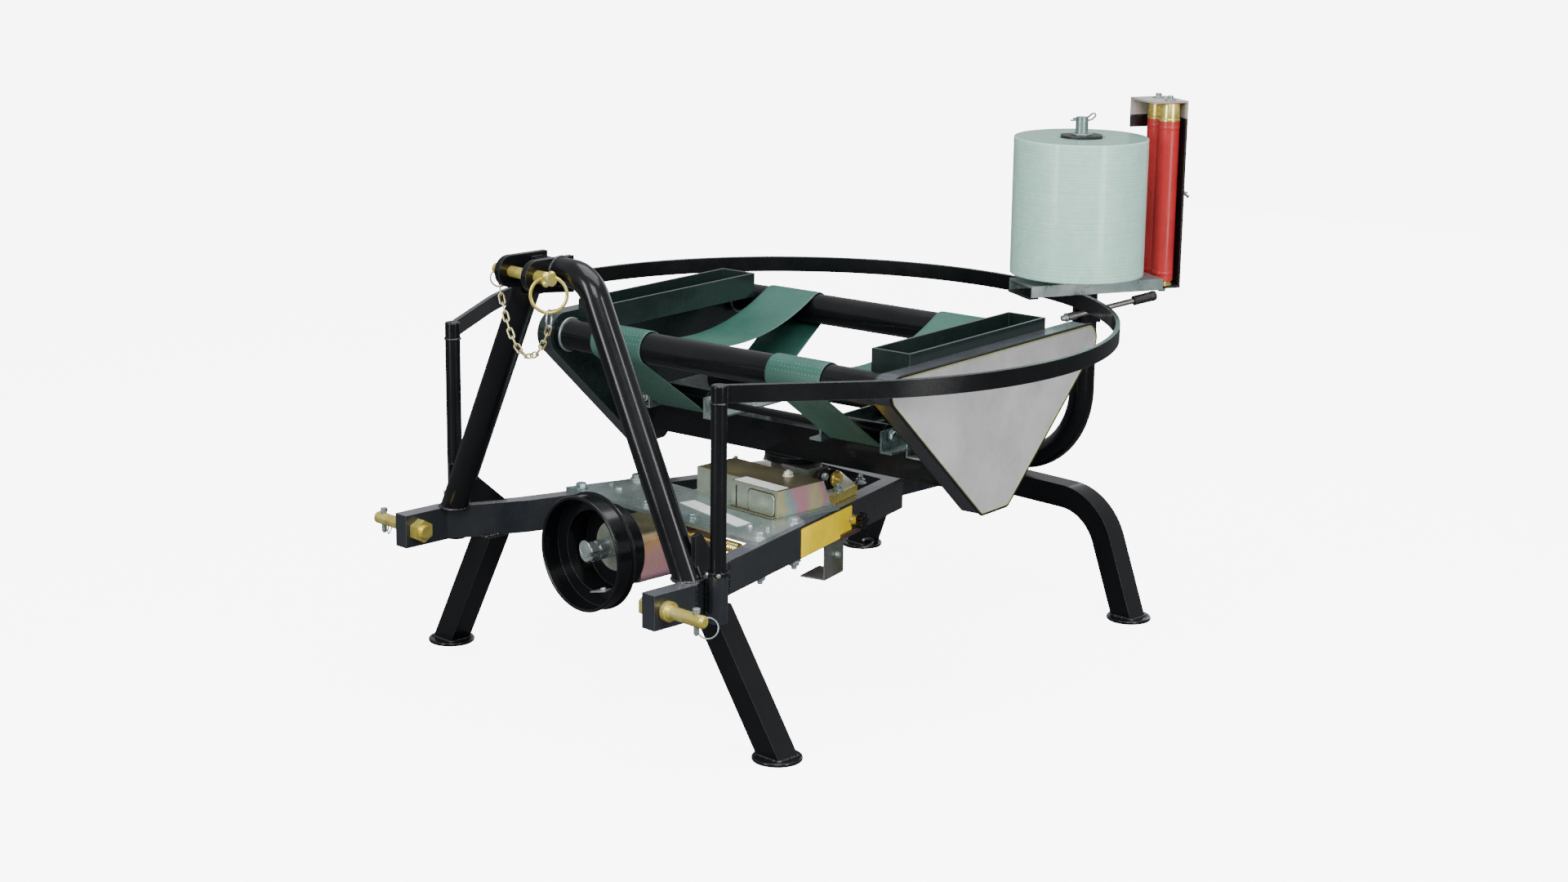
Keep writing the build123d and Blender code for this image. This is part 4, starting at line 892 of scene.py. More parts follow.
def tube(mesh, points, radius, sides=10, looped=False):
    """A round bar along points, in metres; radius may be a list, one for each point."""
    radii = radius if isinstance(radius, list) else [radius] * len(points)
    count = len(points)
    rings = []
    across = None
    for place, point in enumerate(points):
        before = points[place - 1] if place or looped else point
        after = points[(place + 1) % count] if place < count - 1 or looped else point
        along = (after - before).normalized()
        if across is None:
            across = along.orthogonal().normalized()
        across = (across - along * across.dot(along)).normalized()
        other = along.cross(across)
        ring = []
        for side in range(sides):
            angle = 2 * pi * side / sides
            ring.append(point + (across * cos(angle) + other * sin(angle)) * radii[place])
        rings.append(ring)
    skin(mesh, rings, looped)


def block(mesh, matrix, size, edge=0.6):
    """A block with small bevelled edges; size in millimetres."""
    made = bmesh.ops.create_cube(mesh, size=1.0)["verts"]
    scale = Matrix.Diagonal((Vector(size) / 1000).to_4d())
    bmesh.ops.transform(mesh, matrix=matrix @ scale, verts=made)
    if edge:
        borders = list(dict.fromkeys(border for vert in made for border in vert.link_edges))
        bmesh.ops.bevel(mesh, geom=borders, offset=edge / 1000, segments=2, affect="EDGES", profile=0.6)


def drawn_in(outline, edge):
    """An outline with each point moved towards its middle."""
    centre = Vector((sum(x for x, y in outline), sum(y for x, y in outline))) / len(outline)
    inner = []
    for point in outline:
        away = Vector(point) - centre
        inner.append(tuple(centre + away * (1 - edge / away.length)))
    return inner


def plate(mesh, matrix, outline, thickness, edge=0.0):
    """A flat outline of (x, y) points in millimetres, thickened along its own Z; edge breaks its top rim."""
    levels = [(outline, 0.0), (outline, thickness - edge)]
    if edge:
        levels.append((drawn_in(outline, edge), thickness))
    rings = [[matrix @ (Vector((x, y, height)) / 1000) for x, y in points] for points, height in levels]
    skin(mesh, rings)


def rounded(width, length, radius):
    """A rectangle's outline with round corners, centred, in millimetres."""
    steps = 5
    points = []
    for corner, (side_x, side_y) in enumerate(((1, 1), (-1, 1), (-1, -1), (1, -1))):
        for step in range(steps + 1):
            angle = radians(90) * (corner + step / steps)
            points.append((side_x * (width / 2 - radius) + radius * cos(angle),
                           side_y * (length / 2 - radius) + radius * sin(angle)))
    return points


def smooth_run(points, parts):
    """Points on a smooth curve through the given ones."""
    result = []
    for place in range(len(points) - 1):
        before = points[max(place - 1, 0)]
        after = points[min(place + 2, len(points) - 1)]
        start = points[place]
        end = points[place + 1]
        for part in range(parts):
            share = part / parts
            slope = end - before
            bend = 2 * before - 5 * start + 4 * end - after
            twist = 3 * start - before - 3 * end + after
            result.append(0.5 * (2 * start + slope * share + bend * share * share + twist * share ** 3))
    result.append(points[-1])
    return result


def new_piece(name, mesh, material, body="chassis", sharp=32):
    """Ends a piece's mesh, and puts it on its body with its finish."""
    bmesh.ops.recalc_face_normals(mesh, faces=mesh.faces)
    data = bpy.data.meshes.new(name)
    mesh.to_mesh(data)
    mesh.free()
    data.shade_smooth()
    data.set_sharp_from_angle(angle=radians(sharp))
    data.materials.append(material)
    piece = bpy.data.objects.new(name, data)
    bpy.context.scene.collection.objects.link(piece)
    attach(piece, body)
    return piece


def bead(mesh, corners, radius=2.6, looped=False):
    """A rippled weld bead along straight runs; corners in metres, radius in millimetres."""
    stops = corners + [corners[0]] if looped else corners
    points = []
    radii = []
    step = 0.0016
    pool = 0.0052
    travelled = 0.0
    for start, end in zip(stops, stops[1:]):
        length = (end - start).length
        count = max(2, int(length / step))
        for place in range(count):
            point = start.lerp(end, place / count)
            travelled += length / count
            ripple = 0.16 * sin(travelled / pool * 2 * pi)
            waver = 0.07 * sin(travelled * 771)
            radii.append(radius / 1000 * (1.0 + ripple + waver))
            points.append(point)
    if not looped:
        points.append(stops[-1])
        radii.append(radius / 1400)
    tube(mesh, points, radii, 7, looped)


# Belts

def arc_points(points, centre, radius, start, end, step):
    """Adds the points of an arc, in millimetres, no further apart than a step."""
    count = max(2, int(abs(end - start) * radius / step))
    for place in range(count + 1):
        angle = start + (end - start) * place / count
        points.append((centre[0] + radius * cos(angle), centre[1] + radius * sin(angle)))


def belt_path():
    """The belt's middle line across the table, as (y, z) in millimetres, from the front roller back."""
    reach = (roller_y ** 2 + belt_sag ** 2) / (2 * belt_sag)
    half = asin(roller_y / reach)
    slant = atan2(roller_z - idler_z, roller_y - idler_y)
    gap = hypot(roller_y - idler_y, roller_z - idler_z)
    outer = slant - asin((roller_round - idler_round) / gap) - pi / 2
    bale_middle = (0, roller_z + reach - belt_sag)
    down = -pi / 2
    wide = 8
    tight = 4
    points = []
    arc_points(points, bale_middle, reach - roller_round, down - half, down + half, wide)
    arc_points(points, (roller_y, roller_z), roller_round, pi / 2 + half, outer, tight)
    arc_points(points, (idler_y, idler_z), idler_round, outer, down, tight)
    arc_points(points, (-idler_y, idler_z), idler_round, down, -pi - outer, tight)
    arc_points(points, (-roller_y, roller_z), roller_round, -pi - outer, -3 * pi / 2 - half, tight)
    kept = [points[0]]
    for point in points[1:]:
        if hypot(point[0] - kept[-1][0], point[1] - kept[-1][1]) > 0.5:
            kept.append(point)
    return kept


def path_frame(path, place):
    """Direction along the path and out of it at one of its points."""
    along = (Vector(path[(place + 1) % len(path)]) - Vector(path[place - 1])).normalized()
    return along, Vector((-along.y, along.x))


def belt(side, name, node):
    """Closed rubber belt with thinned edges, stretched round the rollers and idlers."""
    path = belt_path()
    # Places across the belt as shares of its width, each with its share of the full thickness
    section = [(0.5, 0.35), (0.485, 0.85), (0.45, 1.0), (0.3, 1.0), (0.15, 1.0), (0.0, 1.0),
               (-0.15, 1.0), (-0.3, 1.0), (-0.45, 1.0), (-0.485, 0.85), (-0.5, 0.35)]
    mesh = bmesh.new()
    rings = []
    for place, (y, z) in enumerate(path):
        out = path_frame(path, place)[1]
        ring = []
        for level, order in ((1, section), (-1, section[::-1])):
            for share, thin in order:
                off = out * (level * thin * belt_thickness / 2)
                ring.append(on_table(side * belt_centre + share * belt_width, y + off.x, z + off.y))
        rings.append(ring)
    skin(mesh, rings, looped=True)
    piece = new_piece(name, mesh, belt_green, "turntable", 60)
    belt_splice(side, name + "_splice", path)
    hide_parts(node)


def belt_splice(side, name, path):
    """Rows of stitches that close the belt, over the front roller."""
    rows = 3
    stitches = 15
    pitch = 7.4
    stagger = 2.4
    half_stitch = 1.5
    middle = Vector((-roller_y - 24, roller_z + 20))
    mesh = bmesh.new()
    near = min(range(len(path)), key=lambda place: (Vector(path[place]) - middle).length)
    for row in range(rows):
        place = (near - rows + 2 * row) % len(path)
        y, z = path[place]
        along, out = path_frame(path, place)
        off = out * (belt_thickness / 2 + 0.1)
        for stitch in range(stitches):
            x = side * belt_centre + (stitch - stitches // 2) * pitch + (stagger if row % 2 else 0)
            ends = [on_table(x, y + off.x - along.x * reach, z + off.y - along.y * reach)
                    for reach in (-half_stitch, 0, half_stitch)]
            tube(mesh, ends, [0.0003, 0.0006, 0.0003], 6)
    return new_piece(name, mesh, thread_grey, "turntable")


belt(-1, "left_belt_cloth", "left_belt")
belt(1, "right_belt_cloth", "right_belt")


# Fasteners

def beam_bolts():
    """Bolts through the drive plate and the beams, with their nuts underneath."""
    mesh = bmesh.new()
    for x, y in ((229, 350), (206, 457), (-228, 338), (-206, 457)):
        bolt(mesh, facing(at(x, y, plate_top), (0, 0, 1), 0.4 + y), 18, 27)
        bolt(mesh, facing(at(x, y, beam_bottom), (0, 0, -1), 0.9), 18, 25, 7)
    # Smaller heads on the plate, on both sides: X, Y, roll, flats and washer
    for x, y, roll, flats, washer in ((171, 380, 0.2, 11, 0), (205, 392, 0.7, 11, 0),
                                      (60, 350, 0.5, 13, 20), (60, 405, 0.1, 13, 20)):
        for side in (-1, 1):
            bolt(mesh, facing(at(side * x, y, plate_top), (0, 0, 1), roll), flats, washer)
    new_piece("drive_plate_bolts", mesh, blue_zinc)


def hub_bolts():
    """Nuts on the hub plate and the cover, and the bolts of the brake's cheek and the tray."""
    mesh = bmesh.new()
    for x, y in ((120, 716), (134, 642), (-120, 716), (-134, 642)):
        bolt(mesh, facing(at(x, y, hub_top), (0, 0, 1), 0.3 + x), 16, 22, 8)
    bolt(mesh, facing(at(112, 628, 346), (1, 0, 0), 0.5), 11, 15)
    bolt(mesh, beam_side(600, 216), 11, 15)
    new_piece("hub_nuts", mesh, blue_zinc)
    mesh = bmesh.new()
    bolt(mesh, facing(at(99, 548, cover_top), (0, 0, 1), 0.5), 15, 21, 3)
    new_piece("cover_nut", mesh, cream_zinc)


def table_bolts():
    """Nuts on the cradles' idler ends, bolts through their feet, and the roller axles' ends."""
    mesh = bmesh.new()
    cradle_face = belt_width / 2 + 11
    foot_middle = belt_width / 2 + 22
    foot_z = 430
    pan_face = -385
    for side in (-1, 1):
        for edge in (-1, 1):
            nut_x = side * belt_centre + edge * cradle_face
            foot_x = side * belt_centre + edge * foot_middle
            for y in (-idler_y, idler_y):
                bolt(mesh, facing(on_table(nut_x, y, idler_z), table_x(edge), 0.4), 17, 22)
            for y in (-22, 22):
                bolt(mesh, facing(on_table(foot_x, y, foot_z), (0, 0, 1), 0.2), 12, 18)
    for y in (-roller_y, roller_y):
        bolt(mesh, facing(on_table(pan_face, y, roller_z), table_x(-1), 0.7), 24, 34)
    new_piece("table_bolts", mesh, blue_zinc, "turntable")


beam_bolts()
hub_bolts()
table_bolts()


# Welds

def across_tube(base, axis, radius, normal, steps=26):
    """Where a round tube meets a plane through base: points in metres, radius in millimetres."""
    axis = Vector(axis).normalized()
    normal = Vector(normal)
    first = axis.orthogonal().normalized()
    second = axis.cross(first)
    points = []
    for step in range(steps):
        angle = 2 * pi * step / steps
        off = (first * cos(angle) + second * sin(angle)) * radius / 1000
        points.append(base + off - axis * (off.dot(normal) / axis.dot(normal)))
    return points


def level_loop(x, y, z, half_x, half_y):
    """Corners of a level rectangle round a point, given in millimetres."""
    corners = ((-1, -1), (1, -1), (1, 1), (-1, 1))
    return [at(x + half_x * side_x, y + half_y * side_y, z) for side_x, side_y in corners]


def upright(x, y, inset):
    """Ends of an upright bead up a beam's side, drawn in from its bottom and top."""
    return [at(x, y, beam_bottom + inset), at(x, y, beam_top - inset)]


def socket_beads(mesh, side):
    """Beads where the guard post's socket meets the beam, and round the post's top."""
    lean = 0.463
    for y in (post_y - 10, post_y + 10):
        bead(mesh, upright(side * 328, y, 2), 2.8)
        bead(mesh, upright(side * (hitch_half - (y - bend_y) * lean), y, 2), 2.6)
    bead(mesh, across_tube(at(side * post_x, post_y, 599.5), (0, 0, 1), 13.5, (0, 0, 1)), 2.2, True)


def gusset_beads(mesh, side):
    """Beads along both faces of a gusset, on top of its beam."""
    turn = radians(24.8)
    along = Vector((-side * sin(turn), cos(turn)))
    across = Vector((along.y, -along.x))
    for off in (-4.5, 4.5):
        edge = Vector((side * 320.9, mast_foot_y)) + across * off
        near = edge + along * 27
        far = edge + along * 105
        bead(mesh, [at(near.x, near.y, beam_top), at(far.x, far.y, beam_top)], 2.4)


def side_welds(mesh, side):
    """Beads at one side's mast foot, beam bends, guard post, legs and gusset."""
    mast_axis = right_mast_axis if side > 0 else left_mast_axis
    mast_foot = at(side * mast_foot_x, mast_foot_y, beam_top)
    bead(mesh, across_tube(mast_foot, mast_axis, mast_radius, (0, 0, 1)), 3.4, True)
    for x, y in ((hitch_half, bend_y), (knuckle_x, knuckle_y)):
        bead(mesh, upright(side * x, y, 1), 1.8)
    socket_beads(mesh, side)
    half_leg = 22.5
    front_leg_top = level_loop(side * 289, 174, beam_bottom, 15, 23)
    front_foot = level_loop(side * 433, 192, foot_top, 26.4, half_leg)
    rear_foot = level_loop(side * 357, rear_leg_y, foot_top, 24.1, half_leg)
    for loop, radius in ((front_leg_top, 3.0), (front_foot, 2.6), (rear_foot, 2.6)):
        bead(mesh, loop, radius, True)
    leg_edge = rear_leg_y + side * half_leg
    bead(mesh, [at(-ear_x, leg_edge, beam_bottom), at(ear_x, leg_edge, beam_bottom)], 3.0)
    beam_end = upright(side * 84.5, 815.5, 1)
    bead(mesh, beam_end, 2.6)
    gusset_beads(mesh, side)


def left_mast_top_beads(mesh):
    """Beads where the left mast tube meets the ear: the two sides that the ear leaves open."""
    top = at(-ear_x, 65.8, 762.7)
    loop = across_tube(top, left_mast_axis, mast_radius, (1, 0, 0), 40)
    middle = top.y
    for run in ([p for p in loop if p.y < middle], [p for p in loop if p.y >= middle]):
        bead(mesh, sorted((p for p in run if 0.748 < p.z < 0.805), key=lambda p: p.z), 3.0)


def frame_welds():
    """Beads where the frame's tubes, beams and plates join."""
    mesh = bmesh.new()
    side_welds(mesh, -1)
    side_welds(mesh, 1)
    seam_y = beam_end_y + 0.5
    half_spine = 40
    low = [at(x, seam_y, beam_bottom) for x in (-half_spine, half_spine)]
    high = [at(x, seam_y, beam_top) for x in (half_spine, -half_spine)]
    bead(mesh, low + high, 2.8, True)
    right_mast_top = at(ear_x, 64, 783)
    bead(mesh, across_tube(right_mast_top, (1, 0, 0), mast_radius, (1, 0, 0)), 3.0, True)
    left_mast_top_beads(mesh)
    arm_start = at(half_spine + 0.5, 1243, 272)
    bead(mesh, across_tube(arm_start, (1, 0, 0), arm_radius, (1, 0, 0)), 3.0, True)
    new_piece("frame_welds", mesh, bead_black, sharp=60)


def table_welds():
    """Beads at the table beam's ends and under the troughs."""
    mesh = bmesh.new()
    beam_corners = ((-40, 366), (40, 366), (40, 426), (-40, 426))
    trough_bottom = 594
    for x in (-351.5, 399.5):
        bead(mesh, [on_table(x, y, z) for y, z in beam_corners], 3.0, True)
        for y in (-150, -50, 50, 150):
            bead(mesh, [on_table(x, y - 14, trough_bottom), on_table(x, y + 14, trough_bottom)], 2.2)
    new_piece("table_welds", mesh, bead_black, "turntable", sharp=60)


frame_welds()
table_welds()


# Drive plates, cover and labels

def labels():
    """Blank labels on the drive plate, the cover and the beam."""
    lift = 0.1
    slant = Matrix.Rotation(atan2(-35, 186), 4, "Z")
    mesh = bmesh.new()
    plate(mesh, Matrix.Translation(at(66, 398, plate_top + lift)) @ slant, rounded(188, 33, 2), 0.5, 0.2)
    plate(mesh, Matrix.Translation(at(105, 474, cover_top + lift)), rounded(108, 31, 2), 0.5, 0.2)
    new_piece("blank_labels", mesh, white_label)
    mesh = bmesh.new()
    plate(mesh, beam_side(562, 270, lift), rounded(192, 53, 3), 1.0, 0.3)
    new_piece("blank_beam_plate", mesh, yellow_plate)


def cover_front():
    """Rounded panel, slit and folds on the front of the drive cover; the slit and the seam round the panel
    are black strips of painted shade.
    """
    panel = rounded(66, 40, 9)
    seam = [(x * 1.045, y * 1.07) for x, y in panel]
    lip = [(-84, -14), (31, -14), (31, 0), (-84, 0)]
    face = Matrix.Translation(at(125, 455, 331)) @ Matrix.Rotation(pi / 2, 4, "X")
    mesh = bmesh.new()
    plate(mesh, face, panel, 1.6, 0.6)
    plate(mesh, Matrix.Translation(at(133, 455.2, 311.2)), lip, 1.4, 0.4)
    new_piece("cover_panel", mesh, rainbow_zinc)
    # Painted shade: black strips in the slit and round the panel, where shade falls.
    mesh = bmesh.new()
    block(mesh, Matrix.Translation(at(61, 454.8, 332)), (2.2, 1.2, 39), 0.3)
    plate(mesh, face, seam, 0.4)
    new_piece("cover_seams", mesh, painted_shade_black)


def hub_fold():
    """Yellow plated angle along the right edge of the hub plate."""
    mesh = bmesh.new()
    away = Vector((cos(beam_angle), sin(beam_angle), 0))
    outer = away * 0.0022
    inner = -away * 0.003
    rise = Vector((0, 0, 0.0172))
    leaf = Vector((0, 0, 0.0006))
    rings = []
    for y in (602, 702):
        foot = at(beam_outer(y) - 21, y, 302.5) + away * 0.0004
        top = foot + rise
        rings.append([foot, foot + outer, foot + outer + rise, top + inner, top + inner - leaf, top - leaf])
    skin(mesh, rings)
    new_piece("hub_plate_angle", mesh, gold_zinc)


def tension_spring():
    """Spring and rod that pull on the brake, beside the gearbox."""
    rod_y = 326
    rod_z = 287
    start_x = 138
    length = 66
    coil = 9
    turns = 16
    parts = 14
    mesh = bmesh.new()
    points = []
    for step in range(turns * parts):
        angle = 2 * pi * step / parts
        x = start_x + length * step / (turns * parts)
        points.append(at(x, rod_y + coil * cos(angle), rod_z + coil * sin(angle)))
    tube(mesh, points, 0.0015, 6)
    tube(mesh, [at(x, rod_y, rod_z) for x in (66, 100, 140)], 0.003, 12)
    tube(mesh, [at(202, rod_y, rod_z), at(214, 330, rod_z), at(232, 338, rod_z)], 0.0022, 10)
    hexagonal(mesh, facing(at(86, rod_y, rod_z), (1, 0, 0)), 11, 0, 7)
    new_piece("tension_spring", mesh, gold_zinc)
    mesh = bmesh.new()
    block(mesh, Matrix.Translation(at(186, 342, 270)), (40, 3, 22), 0.6)
    bolt(mesh, facing(at(196, 340.5, 270), (0, -1, 0)), 9)
    new_piece("spring_plate", mesh, blue_zinc)


def guard_bracket():
    """Small grey bracket inside the shaft guard's mouth."""
    mesh = bmesh.new()
    place = Matrix.Translation(at(14, 176, 201)) @ Matrix.Rotation(radians(-14), 4, "Y")
    block(mesh, place, (40, 22, 3), 0.5)
    bolt(mesh, place @ Matrix.Translation((0.004, 0, 0.0015)), 9)
    new_piece("shaft_guard_bracket", mesh, blue_zinc)


labels()
cover_front()
hub_fold()
tension_spring()
guard_bracket()


# Turntable trims and clips

def turn_of(origin, first, second):
    """Above zero where the way from origin over first to second turns left."""
    towards = (first[0] - origin[0], first[1] - origin[1])
    onwards = (second[0] - origin[0], second[1] - origin[1])
    return towards[0] * onwards[1] - towards[1] * onwards[0]


def hull_outline(corners, shrink):
    """Outline round circles given as (y, z, radius) and mirrored in y, in millimetres."""
    points = set()
    for y, z, radius in corners:
        reach = radius - shrink
        for step in range(72):
            angle = radians(5 * step)
            for side in (-1, 1):
                points.add((round(side * (y + reach * cos(angle)), 3), round(z + reach * sin(angle), 3)))
    ordered = sorted(points)
    outline = []
    for run in (ordered, ordered[::-1]):
        chain = []
        for point in run:
            while len(chain) > 1 and turn_of(chain[-2], chain[-1], point) <= 0:
                chain.pop()
            chain.append(point)
        outline += chain[:-1]
    return outline


def edge_strip(name, x, corners, shrink, radius, material):
    """Thin trim along a side plate's outline."""
    longest = 0.03
    mesh = bmesh.new()
    points = [on_table(x, y, z) for y, z in hull_outline(corners, shrink)]
    dense = []
    for start, end in zip(points, points[1:] + points[:1]):
        count = max(1, int((end - start).length / longest))
        dense += [start.lerp(end, place / count) for place in range(count)]
    tube(mesh, dense, radius / 1000, 8, looped=True)
    new_piece(name, mesh, material, "turntable", 60)


# Rounded corners of the two side plates, as (y, z, radius) in millimetres
case_corners = ((294, 592, 28), (36, 344, 14))
pan_corners = ((250, 580, 40), (30, 344, 14))

edge_strip("case_edge_line", 441.8, case_corners, 3.0, 0.9, edge_lime)
# Painted shade: a black bead along the case's top edge, standing in for the shade of its seam.
edge_strip("case_seam", 440.6, case_corners, 0.0, 2.5, painted_shade_black)
edge_strip("pan_edge", -383.6, pan_corners, 0.8, 1.0, black_paint)


def beam_clips():
    """Folded clips on the table beam's front, with their bolts."""
    turn = Matrix.Rotation(table_turn, 4, "Z")
    sheet = 3
    depth = 22
    middle_z = 426
    mesh = bmesh.new()
    for x, wide in ((314, 46), (-338, 24)):
        leaf = (wide, depth, sheet)
        web = (sheet, depth, 27)
        web_x = x - wide / 2 + sheet / 2
        for place_x, z, size in ((x, middle_z + 12, leaf), (x, middle_z - 12, leaf), (web_x, middle_z, web)):
            block(mesh, Matrix.Translation(on_table(place_x, -51, z)) @ turn, size, 0.6)
        bolt(mesh, facing(on_table(x, -41, middle_z), -table_y(), 0.3), 13, 19)
    new_piece("table_beam_clips", mesh, blue_zinc, "turntable")


beam_clips()


# Hitch pins and guard posts

def linch_pins():
    """Spring ring pins through the lower pins."""
    profile = [(3, -4), (6.4, -3), (6.4, 3), (4.8, 5), (4.8, 40), (2, 43)]
    mesh = bmesh.new()
    for side in (-1, 1):
        top = at(side * (hitch_half + 70), pin_y, pin_z + 17)
        turned(mesh, facing(top, (0, 0, -1)), profile, 18)
        ring = facing(at(side * 418, pin_y + 19, pin_z - 16), (side * 0.75, -0.6, 0.2))
        tube(mesh, circle_points(ring, 17, 36), 0.0013, 8, looped=True)
    new_piece("linch_pins", mesh, blue_zinc)


def post_collars():
    """Set collars over the guard posts' sockets, with their screws."""
    profile = [(13.6, 0), (18.6, 0), (19.2, 0.8), (19.2, 6.4), (18.4, 7.2), (13.6, 7.2)]
    screw_reach = 0.0188
    mesh = bmesh.new()
    screws = bmesh.new()
    for side in (-1, 1):
        turned(mesh, Matrix.Translation(at(side * post_x, post_y, 310.2)), profile, 32)
        for x, y in ((0.75, -0.66), (-0.35, -0.94)):
            out = Vector((side * x, y, 0))
            bolt(screws, facing(at(side * post_x, post_y, 313.8) + out * screw_reach, out), 6.5)
    new_piece("post_collars", mesh, black_paint)
    new_piece("post_collar_screws", screws, blue_zinc)


def shaft_end():
    """Turned face and centre hole on the input shaft's free end."""
    tip = facing(at(0, 149.9, shaft_z), (0, -1, 0))
    face = [(13.6, 0), (13.6, 0.5), (13.0, 0.9), (9.0, 0.9), (8.2, 0.2), (4.4, 0.2), (1.2, -3.4)]
    rim = [(13.4, 0.4), (14.9, 0.5), (15.1, 0.9), (14.6, 1.6), (13.5, 1.7), (13.2, 1.2)]
    mesh = bmesh.new()
    turned(mesh, tip, face, 36)
    new_piece("shaft_end_face", mesh, dark_steel, "pto_shaft")
    mesh = bmesh.new()
    turned(mesh, tip, rim, 40)
    new_piece("shaft_end_rim", mesh, blue_zinc, "pto_shaft")


def roller_highlight_rings():
    """Bright zinc rings at the rollers' left ends: a painted highlight, standing in for the light on the
    edges of their collars.
    """
    profile = [(30.2, 0), (31.9, 0.5), (32.3, 1.6), (32.3, 3.4), (31.9, 4.2), (30.4, 4.4)]
    for name, y in (("front_roller", -roller_y), ("rear_roller", roller_y)):
        mesh = bmesh.new()
        turned(mesh, facing(on_table(-340, y, roller_z), table_x(1)), profile, 48)
        new_piece(name + "_highlight_ring", mesh, blue_zinc, name)


linch_pins()
post_collars()
shaft_end()
roller_highlight_rings()


# Film dispenser

def spindle_top():
    """Thread, washer and R-clip at the spindle's top."""
    mesh = bmesh.new()
    axis = Matrix.Translation(film_centre)
    thread(mesh, axis, 12.4, 931, 955)
    turned(mesh, axis, [(11.9, 955), (11.9, 962.5), (10.5, 964)], 28)
    turned(mesh, axis, [(20, 930.1), (20.6, 930.6), (20.6, 932.4), (20, 933)], 32)
    turn = axis @ Matrix.Rotation(radians(38), 4, "Z")
    wire = [(-22, 0, 957), (0, 0, 957.5), (15, 0, 958.5), (21, 0, 962), (25, 0, 967), (23, 0, 971),
            (18, 0, 970), (13, 4, 965), (6, 12.5, 961), (-4, 12.8, 959.5), (-12, 8, 959), (-17, 4, 960)]
    tube(mesh, smooth_run([turn @ (Vector(point) / 1000) for point in wire], 5), 0.0018, 8)
    new_piece("spindle_clip", mesh, blue_zinc)


def roller_collars(name, y, body):
    """Yellow plated sleeves at both ends of a stretch roller, and its red bands."""
    axis = Matrix.Translation(at_film(stretch_reach, y, 0))
    lower = [(16.7, 630.6), (18.6, 631), (18.6, 633.5), (17.4, 634.5), (17.4, 640.4), (16.2, 640.6)]
    upper = [(20.2, 950.0), (20.6, 950.6), (20.6, 954), (19.2, 955.5), (18.9, 983), (18.2, 985), (12, 985.1)]
    mesh = bmesh.new()
    turned(mesh, axis, lower, 36)
    turned(mesh, axis, upper, 36)
    new_piece(name, mesh, gold_zinc, body)
    mesh = bmesh.new()
    for z in (655, 938):
        turned(mesh, axis, [(20.0, z - 4), (20.35, z - 3), (20.35, z + 3), (20.0, z + 4)], 36)
    new_piece(name + "_bands", mesh, red_rubber, body)


def roller_hardware():
    """Axle ends over the top plate, and the wing bolt on the upright plate."""
    axle_end = [(11, 0), (11.4, 0.4), (11.4, 1.6), (10.8, 2), (6, 2.1), (6, 8), (5, 9)]
    mesh = bmesh.new()
    for y in (0, stretch_pitch):
        turned(mesh, Matrix.Translation(at_film(stretch_reach, y, 989.7)), axle_end, 24)
        bolt(mesh, facing(at_film(stretch_reach, y, 625.9), (0, 0, -1)), 14, 20)
    out = Vector((cos(base_turn), sin(base_turn), 0))
    start = at_film(218, 0, 809)
    tube(mesh, [start, start + out * 0.008, start + out * 0.016], 0.0026, 10)
    turned(mesh, facing(start + out * 0.0005, out), [(7, 0), (7.4, 0.5), (7.4, 2.2), (6.8, 2.8)], 20)
    wing = facing(start + out * 0.010, out, 0.5)
    for side in (-1, 1):
        points = [wing @ Vector((side * x, 0, z)) for x, z in ((0.003, 0), (0.008, 0.001), (0.013, 0.003))]
        tube(mesh, points, [0.0030, 0.0024, 0.0034], 10)
    new_piece("roller_hardware", mesh, blue_zinc)


def lever_grip():
    """Ribbed black sleeve on the lever, and its bolt's end."""
    start = at_film(-34, -37, 586)
    end = at_film(150, -43, 619)
    along = (end - start).normalized()
    rib_pitch = 5
    profile = [(8.7, -0.2), (9.6, 0.6)]
    for rib in range(7):
        bottom = rib * rib_pitch
        profile += [(9.6, bottom + 3), (9.0, bottom + 5), (9.6, bottom + 7)]
    profile += [(9.8, 44), (8.6, 47.5), (5.5, 49)]
    mesh = bmesh.new()
    turned(mesh, facing(end - along * 0.047, along), profile, 24)
    new_piece("lever_grip", mesh, soft_black)
    stud = [(8, 0), (8.6, 0.8), (8.6, 4), (6, 5), (6, 11), (4.6, 12.4)]
    mesh = bmesh.new()
    turned(mesh, facing(start - along * 0.001, -along), stud, 24)
    bolt(mesh, facing(at_film(18, -47.5, 596), at_film(0, -1, 0) - at_film(0, 0, 0)), 11, 15)
    new_piece("lever_bolts", mesh, blue_zinc)


spindle_top()
roller_collars("front_roller_collars", 0, "front_stretch_roller")
roller_collars("rear_roller_collars", stretch_pitch, "rear_stretch_roller")
roller_hardware()
lever_grip()


# Right beam's small pieces

def strip_loop():
    """Bent bar at the end of the brake strip, and the latch's plated stem."""
    bends = ((152, 673, 214), (158, 684, 209), (150, 708, 205), (136, 734, 203), (130, 741, 208),
             (137, 722, 215), (146, 700, 219))
    mesh = bmesh.new()
    tube(mesh, smooth_run([at(x, y, z) for x, y, z in bends], 6), 0.0024, 10)
    new_piece("strip_loop", mesh, bead_black)
    mesh = bmesh.new()
    turned(mesh, beam_side(646, 271, 0.8), [(5.6, 0), (5.6, 1.2), (4.2, 1.6), (2, 1.7)], 20)
    turned(mesh, beam_side(658, 268, 0), [(9.6, 0), (9.6, 1.6), (9.2, 2.2), (9.2, 12), (8, 13.4)], 24)
    new_piece("latch_stem", mesh, gold_zinc)


strip_loop()


# Floor, camera and lights

FLOOR_GLOW = 7.0


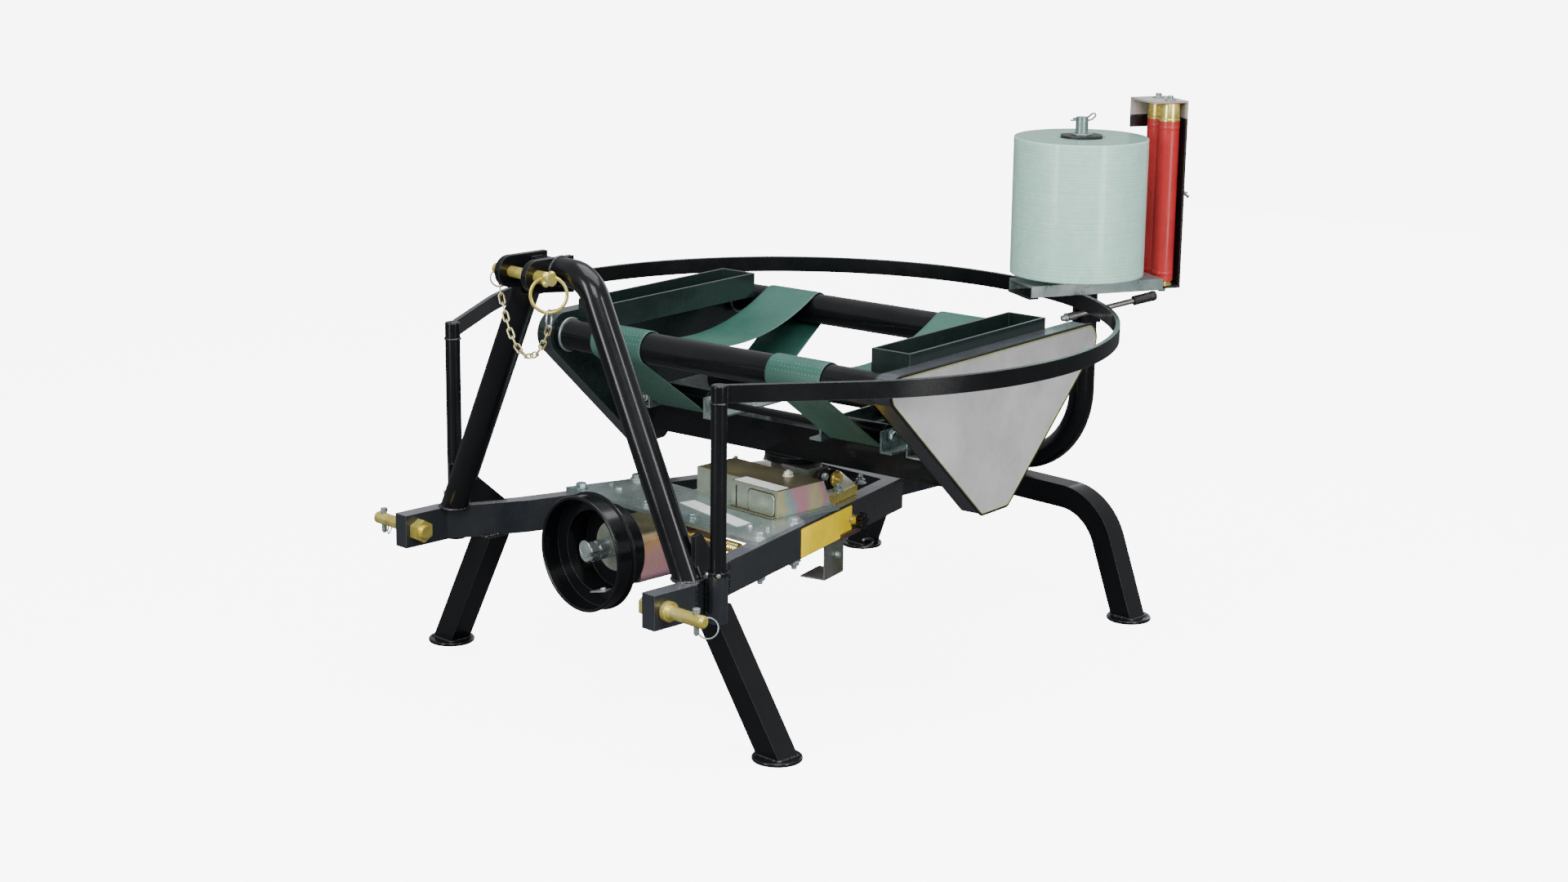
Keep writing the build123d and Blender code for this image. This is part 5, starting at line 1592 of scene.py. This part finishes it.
def floor():
    """Large pale floor: near white to the camera, dim in reflections so that the paint stays black."""
    reach = 40
    corners = [(-reach, -reach, 0), (reach, -reach, 0), (reach, reach, 0), (-reach, reach, 0)]
    mesh = bpy.data.meshes.new("floor")
    mesh.from_pydata(corners, [], [(0, 1, 2, 3)])
    plane = bpy.data.objects.new("floor", mesh)
    material, tree, shader = new_material("pale floor", roughness=0.9)
    seen = add(tree, "ShaderNodeLightPath")
    glow = add(tree, "ShaderNodeMath", operation="MULTIPLY")
    glow.inputs[1].default_value = FLOOR_GLOW
    albedo = mixed(tree, seen.outputs["Is Camera Ray"], (0.10, 0.10, 0.105, 1), (0.80, 0.80, 0.80, 1))
    join(tree,
         (seen.outputs["Is Camera Ray"], glow.inputs[0]),
         (glow.outputs[0], shader.inputs["Emission Strength"]),
         (albedo, shader.inputs["Base Color"]))
    shader.inputs["Emission Color"].default_value = (1, 1, 1, 1)
    shader.inputs["Specular IOR Level"].default_value = 0.0
    mesh.materials.append(material)
    bpy.context.scene.collection.objects.link(plane)


def surroundings():
    """Even pale light from all sides."""
    world = bpy.data.worlds.new("pale studio")
    world.use_nodes = True
    background = world.node_tree.nodes["Background"]
    background.inputs["Color"].default_value = (0.95, 0.97, 1.0, 1)
    background.inputs["Strength"].default_value = 0.5
    bpy.context.scene.world = world


def camera_at(place, yaw, pitch, roll, lens):
    """Camera that looks along yaw and pitch, rolled about its own line."""
    forward = Vector((-sin(yaw) * cos(pitch), cos(yaw) * cos(pitch), -sin(pitch)))
    side = Vector((cos(yaw), sin(yaw), 0))
    up = side.cross(forward)
    right = cos(roll) * side + sin(roll) * up
    rise = -sin(roll) * side + cos(roll) * up
    data = bpy.data.cameras.new("photo camera")
    data.lens = lens
    data.sensor_width = 36
    camera = bpy.data.objects.new("photo camera", data)
    camera.matrix_world = Matrix.Translation(place) @ Matrix((right, rise, -forward)).transposed().to_4x4()
    bpy.context.scene.collection.objects.link(camera)
    bpy.context.scene.camera = camera


def area_light(name, place, target, size, power, color=(1, 1, 1)):
    """Rectangular light at a place, turned to its target; sizes in metres, power in watts."""
    data = bpy.data.lights.new(name, "AREA")
    data.shape = "RECTANGLE"
    data.size = size[0]
    data.size_y = size[1]
    data.energy = power
    data.color = color
    light = bpy.data.objects.new(name, data)
    aim = (Vector(target) - Vector(place)).to_track_quat("-Z", "Y")
    light.matrix_world = Matrix.Translation(place) @ aim.to_matrix().to_4x4()
    bpy.context.scene.collection.objects.link(light)
    return light


def lights():
    """Softboxes over the machine, on both of its seen sides and behind it."""
    area_light("overhead softbox", (0.3, 0.3, 3.5), (0, 0, 0.4), (3.0, 3.0), 130)
    area_light("hitch strip softbox", (0.0, -4.0, 1.4), (0, 0, 1.4), (0.7, 2.7), 90)
    area_light("side strip softbox", (4.0, -0.3, 1.4), (0, 0, 1.4), (0.7, 2.7), 80)
    area_light("camera side softbox", (3.0, -3.0, 3.4), (0, 0, 0.5), (2.0, 2.0), 120)
    rear = area_light("rear softbox", (-1.0, 5.2, 1.4), (0, 0.2, 1.0), (3.6, 2.6), 45, (0.90, 0.94, 1.0))
    rear.visible_camera = False


floor()
surroundings()
camera_at(Vector((3.379, hitch_y - 2.775, 1.577)),
          yaw=radians(44.73), pitch=radians(13.88), roll=radians(0.72), lens=61.4)
lights()
